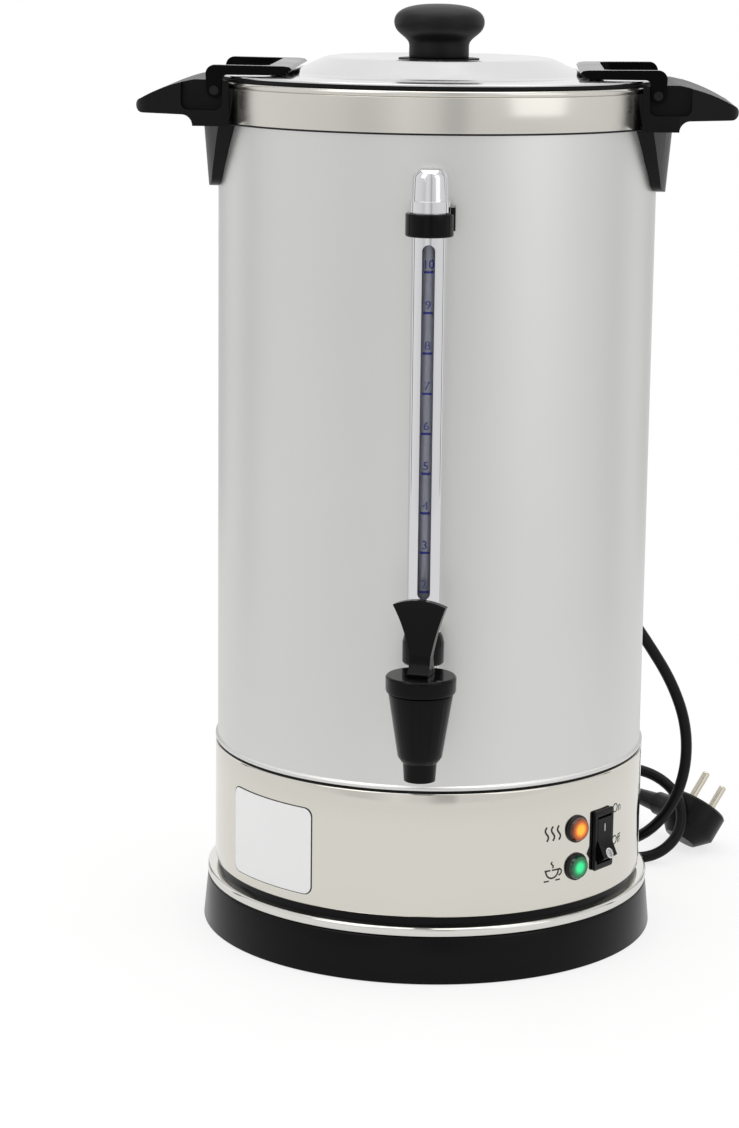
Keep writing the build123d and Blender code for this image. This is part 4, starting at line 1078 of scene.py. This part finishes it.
class BaseAssembly(SubAssembly):
    """Black base ring, chromed hoop and mirror-polished lower housing."""

    sizes = BaseSizes()

    def build(self) -> None:
        """Make the three rings."""
        size = self.sizes
        high, ledge, spigot = size.height, size.ledge, size.spigot_radius
        step, bore, under = spigot - size.spigot_step, spigot - size.spigot_wall, high - size.wall
        self.spun("base_ring_moulded", [
            (size.bottom_radius, 0, 0.4), (size.top_radius, high, 1.3), (spigot, high), (spigot, ledge, 0.3),
            (step, ledge), (step, size.spigot_top, 0.4), (bore, size.spigot_top), (bore, under, 1.0),
            (size.top_radius - size.wall, under), (size.bottom_radius - size.wall, 0),
        ], Finish.BASE, "urn", "base_plastic", "base_ring")
        sheet, hoop_top, soft = spigot + SHARED.sheet_gap, high + size.trim_height, size.trim_rounding
        self.spun("trim_hoop", [
            (sheet, high), (size.trim_radius, high, soft), (size.trim_radius, hoop_top, soft),
            (sheet, hoop_top),
        ], Finish.TRIM, "urn", "trim_chrome", "trim_ring")
        self.added("housing_band_polished", self._housing(), Finish.HOUSING, "urn", "housing_steel",
                   "housing_band", smooth_deg=CRISP_DEG)

    def _housing(self) -> Form:
        """Housing sheet turned in at both edges, with the switch's hole cut through it.

        Returns:
            The housing.
        """
        size = self.sizes
        radius, low, top, sheet = SHARED.housing_radius, size.ledge, size.housing_top, size.housing_wall
        lip, flange = radius - size.lip, radius - size.flange
        form = turned_form([
            (lip, low), (radius, low, 1.0), (radius, top, 1.0), (flange, top), (flange, top - sheet),
            (radius - sheet, top - sheet), (radius - sheet, low + sheet), (lip, low + sheet),
        ], size.housing_faces)
        place = on_wall(radius, SHARED.switch_turn, SHARED.switch_height)
        across, upwards = place.to_3x3() @ Vector((1, 0, 0)), Vector((0, 0, 1))
        half_x, half_y, reach = size.hole_half_width * MM, size.hole_half_height * MM, size.hole_reach * MM
        for normal, half in ((across, half_x), (upwards, half_y)):
            for sign in (-1, 1):
                bmesh.ops.bisect_plane(form, geom=form.verts[:] + form.edges[:] + form.faces[:],
                                       plane_co=place.translation + normal * sign * half, plane_no=normal,
                                       dist=CUT_REACH)
        inside = place.inverted()
        doomed = []
        for face in form.faces:
            spot = inside @ face.calc_center_median()
            if abs(spot.x) < half_x and abs(spot.y) < half_y and abs(spot.z) < reach:
                doomed.append(face)
        bmesh.ops.delete(form, geom=doomed, context="FACES")
        bmesh.ops.bridge_loops(form, edges=[e for e in form.edges if e.is_boundary])
        bmesh.ops.recalc_face_normals(form, faces=form.faces)
        return form

    def dress(self) -> None:
        """Finish the parts under and inside the base."""
        self.dress_nodes(Finish.PLATE, "base_plate", "base_pillars")
        self.dress_nodes(Finish.SCREW, "base_screws")
        self.dress_nodes(Finish.SILICONE, "housing_seal")
        self.dress_nodes(Finish.SHEATHED, "heating_element", "well_heater")
        self.dress_nodes(Finish.THERMOSTAT, "thermostats")
        self.dress_nodes(Finish.CERAMIC, "terminal_block")


@dataclass(frozen=True)
class LidSizes:
    """Sizes of the lid, gasket and knob, in millimetres."""

    radius: float = 128.0
    low: float = 496.0
    sheet: float = 1.2
    bore: float = 3.3
    foot_radius: float = 85.0
    top_radius: float = 63.5
    slope_draft: float = 0.3
    dome: float = 507.0
    dish: float = 1.6
    dish_radius: float = 56.0
    dish_slope: float = 14.0
    gasket_radius: float = 122.6
    gasket_lip: float = 1.2
    gasket_drop: float = 5.0
    gasket_inset: float = 0.5
    gasket_foot: float = 494.0
    gasket_faces: int = 192
    knob_foot: float = 506.2
    knob_neck: float = 17.0
    knob_neck_height: float = 7.0
    knob_neck_pull: float = 5.0
    knob_under_pull: float = 7.0
    knob_crown_pull: float = 8.0
    knob_radius: float = 25.7
    knob_widest: float = 20.0
    knob_height: float = 30.3
    knob_crown: float = 15.0
    knob_faces: int = 96


class LidAssembly(SubAssembly):
    """Polished lid with its gasket and mushroom knob."""

    sizes = LidSizes()

    def build(self) -> None:
        """Make the lid, gasket and knob."""
        size = self.sizes
        low, high, sheet, rim = size.low, size.dome, size.sheet, size.radius
        dished, inner = high - size.dish, size.dish_radius - size.dish_slope
        self.spun("lid_polished", [
            (size.bore, dished), (inner, dished, 2.0), (size.dish_radius, high, 1.5),
            (size.top_radius, high, 3.0), (size.foot_radius, low + sheet, 3.0), (rim, low + sheet, 0.5),
            (rim, low, 0.5), (size.foot_radius - size.slope_draft, low, 2.0),
            (size.top_radius - size.slope_draft, high - sheet, 2.0), (size.dish_radius, high - sheet, 1.0),
            (inner, dished - sheet, 1.0), (size.bore, dished - sheet),
        ], Finish.LID, "lid", "lid_steel", "lid")
        foot, skirt, inset = size.gasket_foot, size.gasket_foot - size.gasket_drop, rim - size.gasket_inset
        bore, lip = size.gasket_radius, size.gasket_radius + size.gasket_lip
        self.spun("lid_gasket_moulded", [
            (bore, skirt, 0.5), (lip, skirt, 0.5), (lip, foot, 0.3), (inset, foot, 0.7), (inset, low, 0.7),
            (bore, low),
        ], Finish.SILICONE, "lid", "silicone", "lid_gasket", steps=size.gasket_faces)
        self.spun("knob_moulded", self._knob_outline(), Finish.KNOB, "lid", "handle_plastic", "knob",
                  steps=size.knob_faces, smooth_deg=50)

    def _knob_outline(self) -> list[Point]:
        """Mushroom outline: a straight neck, an undercut that swells outwards and a domed crown.

        Returns:
            The outline, for turning.
        """
        size = self.sizes
        base, neck, widest = size.knob_foot, size.knob_neck, size.knob_radius
        start, shoulder, top = base + size.knob_neck_height, base + size.knob_widest, base + size.knob_height
        under = bent_points((neck, start), (neck, start + size.knob_neck_pull),
                            (widest, shoulder - size.knob_under_pull), (widest, shoulder), count=9)
        crown = bent_points((widest, shoulder), (widest, shoulder + size.knob_crown_pull),
                            (size.knob_crown, top), (0, top), count=14)
        return [(0, base), (neck, base, 0.8), *under, *crown, (0, top)]

    def dress(self) -> None:
        """Finish the knob's screw and pad."""
        self.dress_nodes(Finish.SCREW, "knob_screw")
        self.dress_nodes(Finish.SILICONE, "knob_pad")


class HandleAssembly(SubAssembly):
    """Side handles, the lid clamps that hang in them, and their fixings."""

    def build(self) -> None:
        """Make both handles and both clamps with rounded mould edges."""
        for side in ("left", "right"):
            self.moulded(f"handle_{side}", Finish.HANDLE, "urn", "handle_plastic",
                         rounding_mm=1.4, segments=3)
            self.moulded(f"clamp_{side}", Finish.CLAMP, f"clamp_{side}", "clamp_plastic",
                         rounding_mm=2.1, segments=4)

    def dress(self) -> None:
        """Finish the fixings."""
        self.dress_nodes(Finish.SCREW, "handle_screws")
        self.dress_nodes(Finish.PIVOT, "clamp_pins")


@dataclass(frozen=True)
class GaugeSizes:
    """Sizes of the level gauge's printed scale, in millimetres."""

    axis_y: float = -141.0
    glass_radius: float = 5.2
    top_mark: float = 400.1
    pitch: float = 21.58
    top_figure: int = 10
    marks: int = 9
    tick_width: float = 5.0
    tick_height: float = 1.2
    tick_columns: int = 8
    figure_height: float = 6.4
    figure_rise: float = 3.968
    ink: float = 0.12


class GaugeAssembly(SubAssembly):
    """Chrome sight gauge with printed litre marks on its glass."""

    sizes = GaugeSizes()

    def build(self) -> None:
        """Make the shield, cap, bracket, nut and the printed scale."""
        self.moulded("gauge_shield", Finish.CHROME, "urn", "gauge_chrome", rounding_mm=0.15)
        self.moulded("gauge_cap", Finish.CHROME, "urn", "gauge_chrome", rounding_mm=0.2)
        self.moulded("gauge_bracket", Finish.TAP, "urn", "tap_plastic", rounding_mm=0.6, segments=3)
        self.moulded("gauge_nut", Finish.TAP, "urn", "tap_plastic", rounding_mm=0.2)
        self.added("gauge_scale_print", self._scale(), Finish.BLUE_INK, "urn", "gauge_glass")

    def _scale(self) -> Form:
        """Row of ticks, each with its figure above it.

        Returns:
            The scale on the front of the glass.
        """
        size = self.sizes
        prints = []
        for index in range(size.marks):
            tick = bar(size.tick_width, size.tick_height, size.ink, size.tick_columns)
            figure = lettering(str(size.top_figure - index), size.figure_height, size.ink)
            bmesh.ops.translate(figure, verts=figure.verts, vec=(0, size.figure_rise * MM, 0))
            for form in (tick, figure):
                height = size.top_mark - index * size.pitch
                prints.append(wrap_on_wall(form, size.glass_radius, 0.0, height, size.axis_y))
        return joined(prints)

    def dress(self) -> None:
        """Finish the glass tube, its seals and its screw."""
        self.dress_nodes(Finish.GLASS, "gauge_glass")
        self.dress_nodes(Finish.PALE_SILICONE, "gauge_seals")
        self.dress_nodes(Finish.SCREW, "gauge_screw")


@dataclass(frozen=True)
class TapSizes:
    """The valve's axis and its travel, in millimetres."""

    axis_y: float = -175.0
    stem_travel: float = 3.8


class TapAssembly(SubAssembly):
    """Pull tap: body, bonnet, lever and valve."""

    sizes = TapSizes()

    def build(self) -> None:
        """Make the moulded parts with rounded edges."""
        self.moulded("tap_body", Finish.TAP, "urn", "tap_plastic", rounding_mm=0.35)
        self.moulded("tap_bonnet", Finish.TAP, "urn", "tap_plastic", rounding_mm=0.35)
        self.moulded("tap_lever", Finish.TAP, "lever", "tap_plastic", rounding_mm=0.6, segments=3)
        self.moulded("tap_shank", Finish.CHROME, "urn", "gauge_chrome", rounding_mm=0.2)
        self._spring()

    def _spring(self) -> None:
        """Make the valve's spring with a mesh of its own; the real spring closes up under the bonnet as the
        stem rises.
        """
        spring = self.moulded("valve_spring", Finish.SPRING, "urn", "spring_steel")
        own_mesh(spring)

    def dress(self) -> None:
        """Finish the valve and the fixings."""
        self.dress_nodes(Finish.NUT, "tap_nut")
        self.dress_nodes(Finish.PALE_SILICONE, "tap_washers", "valve_cup")
        self.dress_nodes(Finish.VALVE, "valve_stem")
        self.dress_nodes(Finish.SCREW, "tap_lever_pin")


@dataclass(frozen=True)
class ControlSizes:
    """Sizes and places of the bezels, printed marks and badge plate, in millimetres and degrees."""

    sign_turn: float = 35.6
    mark_turn: float = 61.0
    on_height: float = 84.6
    off_height: float = 65.5
    mark_size: float = 7.8
    badge_turn: float = -44.5
    badge_height: float = 68.3
    badge_width: float = 66.0
    badge_tall: float = 50.0
    badge_corner: float = 5.0
    badge_depth: float = 0.5
    edge_margin: float = 0.5
    edge_depth: float = 0.3
    bezel_inner: float = 6.9
    bezel_outer: float = 8.0
    bezel_height: float = 2.0
    bezel_side: float = 1.2
    bezel_slope: float = 0.7
    bezel_faces: int = 64
    rocker_face: float = 2.25
    line_along: float = 7.0
    line_half: float = 2.2
    line_width: float = 0.55
    ring_along: float = -8.5
    ring_radius: float = 2.8
    ring_width: float = 0.5
    ring_lean: float = -26.0
    ink: float = 0.08
    ink_gap: float = 0.02
    rocker_gap: float = 0.03


@dataclass(frozen=True)
class SignSizes:
    """Sizes of the two lamps' signs, in millimetres from each sign's middle."""

    heat_pitch: float = 4.2
    heat_sway: float = 1.1
    heat_half: float = 4.2
    heat_line: float = 1.1
    bowl_radii: Point = (4.4, 4.6)
    bowl_brim: float = 0.6
    brim_half: float = 5.2
    brim_height: float = 0.7
    cup_line: float = 1.0
    ear_radii: Point = (2.2, 1.9)
    ear_height: float = -0.9
    ear_turn: float = 1.5
    saucer_half: float = 5.6
    saucer_height: float = -5.4
    steam_foot: float = 2.0
    steam_sway: float = 0.8
    steam_height: float = 3.6
    thin_line: float = 0.9


class ControlAssembly(SubAssembly):
    """Lamps, rocker switch, their printed signs and the bare badge plate."""

    sizes = ControlSizes()
    signs = SignSizes()

    def build(self) -> None:
        """Make the lenses, switch, signs and plate."""
        size = self.sizes
        self.moulded("lamp_amber", Finish.AMBER, "urn", "amber_lens", rounding_mm=0.5, segments=3)
        self.moulded("lamp_green", Finish.GREEN, "urn", "green_lens", rounding_mm=0.5, segments=3)
        for name, height in (("amber_bezel", SHARED.amber_height), ("green_bezel", SHARED.green_height)):
            self.added(name, self._bezel(height), Finish.BEZEL, "urn", "switch_plastic")
        self.moulded("switch_frame", Finish.SWITCH, "urn", "switch_plastic", rounding_mm=0.15)
        self.moulded("rocker", Finish.ROCKER, "rocker", "rocker_plastic", rounding_mm=0.3, segments=3)
        self._print("heating_sign_print", self._heat_sign(), size.sign_turn, SHARED.amber_height)
        self._print("warming_sign_print", self._cup_sign(), size.sign_turn, SHARED.green_height)
        for word, height in (("On", size.on_height), ("Off", size.off_height)):
            self._print(f"{word.lower()}_mark_print", lettering(word, size.mark_size, size.ink),
                        size.mark_turn, height)
        plate, edge = self._badge(0.0, size.badge_depth), self._badge(size.edge_margin, size.edge_depth)
        self.added("badge_plate_bare", plate, Finish.BADGE, "urn", "housing_steel")
        self.added("badge_plate_edge", edge, Finish.BLACK_INK, "urn", "base_plastic")
        line = stroke([(0, -size.line_half), (0, size.line_half)], size.line_width, size.ink)
        self.added("rocker_on_line", self._rocker_mark(line, size.line_along, 0.0), Finish.WHITE_INK,
                   "rocker", "base_plastic")
        circle = oval_points((0, 0), (size.ring_radius, size.ring_radius), 0.0, 2 * math.pi, steps=24)
        ring = stroke(circle, size.ring_width, size.ink)
        self.added("rocker_off_ring", self._rocker_mark(ring, size.ring_along, size.ring_lean),
                   Finish.WHITE_INK, "rocker", "base_plastic")

    def _bezel(self, height: float) -> Form:
        """Round collar that clips over a lamp's flange.

        Args:
            height: height of the lamp's axis in millimetres.

        Returns:
            The collar on the housing's wall.
        """
        size = self.sizes
        inner, outer, foot, top = size.bezel_inner, size.bezel_outer, SHARED.sheet_gap, size.bezel_height
        form = turned_form([
            (inner, foot), (outer, foot), (outer, size.bezel_side, 0.4), (outer - size.bezel_slope, top, 0.4),
            (inner, top, 0.3),
        ], size.bezel_faces)
        place = on_wall(SHARED.housing_radius, SHARED.lamp_turn, height)
        bmesh.ops.transform(form, matrix=place, verts=form.verts)
        return form

    def _print(self, name: str, form: Form, turn_deg: float, height: float) -> None:
        """Print a flat mark in black on the housing.

        Args:
            name: the print's name.
            form: the flat mark.
            turn_deg: angle of its middle from the front towards the right-hand side.
            height: height of its middle in millimetres.
        """
        wrap_on_wall(form, SHARED.housing_radius + self.sizes.ink_gap, turn_deg, height)
        self.added(name, form, Finish.BLACK_INK, "urn", "base_plastic")

    def _rocker_mark(self, form: Form, along: float, lean_deg: float) -> Form:
        """Lay a mark on one face of the rocker.

        Args:
            form: the flat mark.
            along: its distance up from the rocker's middle, along its face, in millimetres.
            lean_deg: how far that face leans out from the wall.

        Returns:
            The same shape, in place.
        """
        size = self.sizes
        place = on_wall(SHARED.housing_radius + size.rocker_face, SHARED.switch_turn, SHARED.switch_height)
        lean = Matrix.Rotation(math.radians(lean_deg), 4, "X")
        slide = Matrix.Translation((0, along * MM, size.rocker_gap * MM))
        bmesh.ops.transform(form, matrix=place @ lean @ slide, verts=form.verts)
        return form

    def _heat_sign(self) -> Form:
        """Three wavy lines that rise side by side.

        Returns:
            The flat sign.
        """
        sign = self.signs
        waves = []
        for column in (-sign.heat_pitch, 0.0, sign.heat_pitch):
            line = wave_points((column, -sign.heat_half), sign.heat_sway, 2 * sign.heat_half, steps=12)
            waves.append(stroke(line, sign.heat_line, self.sizes.ink))
        return joined(waves)

    def _cup_sign(self) -> Form:
        """Steaming cup on its saucer.

        Returns:
            The flat sign.
        """
        sign, ink = self.signs, self.sizes.ink
        bowl = oval_points((0.0, sign.bowl_brim), sign.bowl_radii, math.pi, 2 * math.pi, steps=14)
        ear_centre = (sign.bowl_radii[0], sign.ear_height)
        ear = oval_points(ear_centre, sign.ear_radii, -sign.ear_turn, sign.ear_turn, steps=10)
        steam = wave_points((0.0, sign.steam_foot), sign.steam_sway, sign.steam_height, steps=8)
        brim = [(-sign.brim_half, sign.brim_height), (sign.brim_half, sign.brim_height)]
        saucer = [(-sign.saucer_half, sign.saucer_height), (sign.saucer_half, sign.saucer_height)]
        lines = ((bowl, sign.cup_line), (brim, sign.cup_line), (ear, sign.thin_line),
                 (saucer, sign.thin_line), (steam, sign.thin_line))
        return joined([stroke(line, width, ink) for line, width in lines])

    def _badge(self, margin: float, depth: float) -> Form:
        """Bare plate with round corners.

        Args:
            margin: how much wider than the plate it is on each side, in millimetres.
            depth: thickness.

        Returns:
            The plate on the housing's wall.
        """
        size = self.sizes
        form = bar(size.badge_width + 2 * margin, size.badge_tall + 2 * margin, depth, columns=10)
        half = (size.badge_width / 2 + margin) * MM
        corners = [edge for edge in form.edges
                   if all(abs(abs(vert.co.x) - half) < WELD for vert in edge.verts)
                   and abs(edge.verts[0].co.z - edge.verts[1].co.z) > 10 * WELD]
        bmesh.ops.bevel(form, geom=corners, offset=size.badge_corner * MM, offset_type="OFFSET",
                        segments=8, profile=0.5, affect="EDGES", material=-1, clamp_overlap=False)
        return wrap_on_wall(form, SHARED.housing_radius, size.badge_turn, size.badge_height)

    def dress(self) -> None:
        """Finish the lamps' clips and the rocker's axle."""
        self.dress_nodes(Finish.SCREW, "lamp_clips", "rocker_axle")


class InsertAssembly(SubAssembly):
    """Percolator insert inside the tank: pump, tube, basket and spreader."""

    def dress(self) -> None:
        """Finish the spun aluminium parts."""
        self.dress_nodes(Finish.SPUN, "pump_base", "pump_tube", "basket", "spreader")


@dataclass(frozen=True)
class LeadSizes:
    """The mains lead's thickness, coil and route, in millimetres."""

    radius: float = 3.5
    length: float = 1607.0
    exit: Point = (96.64, 115.18, 58.0)
    near: tuple[Point, ...] = (
        (114, 137, 55), (142, 139, 50), (159, 128.8, 36.4), (159, 114.4, 17.2), (142, 104.2, 3.6),
        (117, 104.2, 3.6), (90, 117, 3.6), (61, 135, 3.6), (28, 143.5, 3.6), (-8.8, 145.5, 3.6),
    )
    coil_centre: tuple[float, float] = (-32.0, 184.0)
    coil_radius: float = 38.5
    coil_turns: float = 2.75
    points_per_turn: int = 16
    climb_from: float = 0.82
    top_layer: float = 2.0
    table_gap: float = 0.1
    far: tuple[Point, ...] = (
        (6.5, 160.8, 17.6), (7.5, 146, 32), (14, 142, 61), (26, 141, 90), (39, 136, 118), (54, 127, 144),
        (72, 114, 167), (93, 101, 179), (115, 95, 171), (132, 96.5, 147), (149, 98.5, 120), (159, 99, 92),
        (159.5, 99, 63), (151, 101, 37), (135, 113, 15), (114, 130, 4), (88, 146, 3.6), (61, 162, 3.6),
        (50, 191, 3.6), (66, 221, 5), (104.1, 224.7, 21.5), (129.5, 192.6, 20.9),
    )


class LeadAssembly(SubAssembly):
    """Mains lead on one smooth curve with its gland and plug."""

    sizes = LeadSizes()

    def build(self) -> None:
        """Make the plug, pins, gland and the lead itself."""
        plug = self.moulded("plug_body", Finish.PLUG, "urn", "plug_plastic", rounding_mm=0.8, segments=3)
        pins = self.moulded("plug_pins", Finish.PINS, "urn", "pin_metal")
        self.moulded("cord_gland", Finish.SHEATH, "urn", "cord_pvc", rounding_mm=0.3)
        size = self.sizes
        curve = bpy.data.curves.new("mains_lead", "CURVE")
        curve.dimensions = "3D"
        curve.bevel_depth = size.radius * MM
        curve.bevel_resolution = 5
        curve.resolution_u = 10
        curve.use_fill_caps = True
        line = curve.splines.new("NURBS")
        route = [size.exit, *size.near, *self._coil(), *size.far]
        line.points.add(len(route) - 1)
        for point, spot in zip(line.points, route):
            point.co = (spot[0] * MM, spot[1] * MM, spot[2] * MM, 1.0)
        line.order_u = 3
        line.use_endpoint_u = True
        lead = linked("mains_lead", curve)
        curve.materials.append(self.palette[Finish.SHEATH])
        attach(lead, "urn")
        ride_as(lead, "cord_pvc", "power_cord", "cord_coil")
        self.pieces.append(lead)

    def _coil(self) -> list[Point]:
        """Wound turns: each layer lies flat, then climbs a diameter just before it meets its own start.

        Returns:
            The turns' points in millimetres.
        """
        size = self.sizes
        points = []
        for index in range(round(size.coil_turns * size.points_per_turn) + 1):
            turns = index / size.points_per_turn
            angle = -math.pi / 2 - 2 * math.pi * turns
            share = max(0.0, (turns % 1.0 - size.climb_from) / (1 - size.climb_from))
            layer = min(int(turns) + share, size.top_layer)
            points.append((size.coil_centre[0] + size.coil_radius * math.cos(angle),
                           size.coil_centre[1] + size.coil_radius * math.sin(angle),
                           size.radius + size.table_gap + 2 * size.radius * layer))
        return points


# ------------------------------------------------------------------ studio
@dataclass(frozen=True)
class Softbox:
    """A soft area lamp: its place and size in metres, and its power in watts."""

    name: str
    spot: Point
    width: float
    height: float
    watts: float


@dataclass(frozen=True)
class StudioSizes:
    """Floor, sweep, lamps and camera, in metres and degrees."""

    floor_radius: float = 1.5
    floor_drop: float = 0.0004
    world_strength: float = 0.98
    ceiling_strength: float = 1.03
    aim: Point = (0.0, 0.0, 0.27)
    lamps: tuple[Softbox, ...] = (
        Softbox("key_softbox", (-1.5, -1.5, 1.9), 1.4, 1.8, 7.0),
        Softbox("fill_softbox", (1.9, -1.5, 1.3), 1.4, 2.2, 5.0),
        Softbox("top_softbox", (0.0, 0.1, 2.3), 2.4, 2.4, 26.0),
    )
    # Tones round the room, from the front through the left, the back and the right to the front again.
    sweep: tuple[tuple[float, str], ...] = (
        (0.0, "#E6E6E6"), (0.02, "#EAEAEA"), (0.042, "#F4F4F4"), (0.065, "#E6E6E6"), (0.085, "#DCDCDC"),
        (0.11, "#DCDCDC"), (0.135, "#E6E6E6"), (0.22, "#EEEEEE"), (0.298, "#F4F4F4"), (0.305, "#4A4A4C"),
        (0.317, "#4A4A4C"), (0.324, "#FFFFFF"), (0.395, "#FAFAFA"), (0.405, "#9C9C9E"), (0.43, "#9C9C9E"),
        (0.44, "#FFFFFF"), (0.56, "#FFFFFF"), (0.57, "#9C9C9E"), (0.59, "#9C9C9E"), (0.6, "#F8F8F8"),
        (0.683, "#F8F8F8"), (0.689, "#4A4A4C"), (0.697, "#4A4A4C"), (0.703, "#E8E8E8"), (0.79, "#EDEDED"),
        (0.88, "#E8E8E8"), (0.95, "#E6E6E6"), (0.96, "#C4C4C4"), (0.98, "#C4C4C4"), (1.0, "#E6E6E6"),
    )
    lens: float = 96.1054
    sensor: float = 36.0
    location: Point = (0.0438625, -1.7328258, 0.5733502)
    turn_deg: Point = (78.22526, -0.62863, 2.77794)


class Studio:
    """Plain pale floor, soft studio light and the camera."""

    sizes = StudioSizes()

    def build(self) -> None:
        """Make the floor, the world, the lamps and the camera."""
        self._floor()
        self._world()
        for lamp in self.sizes.lamps:
            self._lamp(lamp)
        self._camera()

    def _floor(self) -> None:
        """Lay a round sheet of paper just under the urn."""
        size = self.sizes
        form = bmesh.new()
        bmesh.ops.create_circle(form, cap_ends=True, segments=96, radius=size.floor_radius)
        bmesh.ops.translate(form, verts=form.verts, vec=(0, 0, -size.floor_drop))
        floor = mesh_object("studio_floor", form)
        floor.data.materials.append(FloorPaper("pale_floor_paper", "#F2F2F1", "#F6F6F5").make())

    def _world(self) -> None:
        """Light the room evenly, with dark flags for the metal and white for the camera."""
        world = bpy.data.worlds.new("soft_studio")
        bpy.context.scene.world = world
        world.use_nodes = True
        tree = world.node_tree
        tree.nodes.clear()
        view = add_node(tree, "ShaderNodeTexCoord").outputs["Generated"]
        parts = add_node(tree, "ShaderNodeSeparateXYZ", links={"Vector": view}).outputs
        azimuth = add_node(tree, "ShaderNodeMath", links={0: parts["X"], 1: parts["Y"]}, operation="ARCTAN2")
        share = add_node(tree, "ShaderNodeMapRange", {"From Min": -math.pi, "From Max": math.pi},
                         {"Value": azimuth.outputs["Value"]})
        # White sweep all round, with narrow dark flags beside and behind that draw the chrome's dark edges.
        flags = add_node(tree, "ShaderNodeValToRGB", links={"Fac": share.outputs["Result"]})
        fill_ramp(flags.color_ramp, self.sizes.sweep)
        # A brighter ceiling lights the floor and the lid from above.
        ceiling = add_node(tree, "ShaderNodeMapRange", {"To Min": self.sizes.world_strength,
                                                        "To Max": self.sizes.ceiling_strength},
                           {"Value": parts["Z"]})
        room = add_node(tree, "ShaderNodeBackground",
                        links={"Color": flags.outputs["Color"], "Strength": ceiling.outputs["Result"]})
        white = add_node(tree, "ShaderNodeBackground", {"Color": (1.0, 1.0, 1.0, 1.0), "Strength": 1.0})
        path = add_node(tree, "ShaderNodeLightPath").outputs
        blend = add_node(tree, "ShaderNodeMixShader", links={0: path["Is Camera Ray"],
                                                             1: room.outputs["Background"],
                                                             2: white.outputs["Background"]})
        output = add_node(tree, "ShaderNodeOutputWorld", links={"Surface": blend.outputs["Shader"]})
        output.is_active_output = True

    def _lamp(self, softbox: Softbox) -> None:
        """Add a soft area lamp that looks at the middle of the urn.

        Args:
            softbox: the lamp's name, place, size and power.
        """
        lamp = bpy.data.lights.new(softbox.name, "AREA")
        lamp.shape = "RECTANGLE"
        lamp.size = softbox.width
        lamp.size_y = softbox.height
        lamp.energy = softbox.watts
        holder = linked(softbox.name, lamp)
        holder.location = softbox.spot
        towards = Vector(self.sizes.aim) - Vector(softbox.spot)
        holder.rotation_euler = towards.to_track_quat("-Z", "Y").to_euler()

    def _camera(self) -> None:
        """Set up the camera at the view that the urn is shown from."""
        size = self.sizes
        camera = bpy.data.cameras.new("view_camera")
        camera.sensor_width = size.sensor
        camera.sensor_fit = "AUTO"
        camera.lens = size.lens
        holder = linked("view_camera", camera)
        holder.location = size.location
        holder.rotation_euler = tuple(math.radians(angle) for angle in size.turn_deg)
        bpy.context.scene.camera = holder


def main() -> None:
    """Build the sub-assemblies in order, then the studio."""
    logging.basicConfig(level=logging.INFO)
    palette = Palette()
    order = (TankAssembly, BaseAssembly, LidAssembly, HandleAssembly, GaugeAssembly, TapAssembly,
             ControlAssembly, InsertAssembly, LeadAssembly)
    for kind in order:
        assembly = kind(palette)
        assembly.build()
        assembly.dress()
        for piece in assembly.pieces:
            log.info("%s: %s", kind.__name__, piece.name)
    Studio().build()
    bpy.context.scene.view_settings.view_transform = "Standard"


if __name__ == "__main__":
    main()
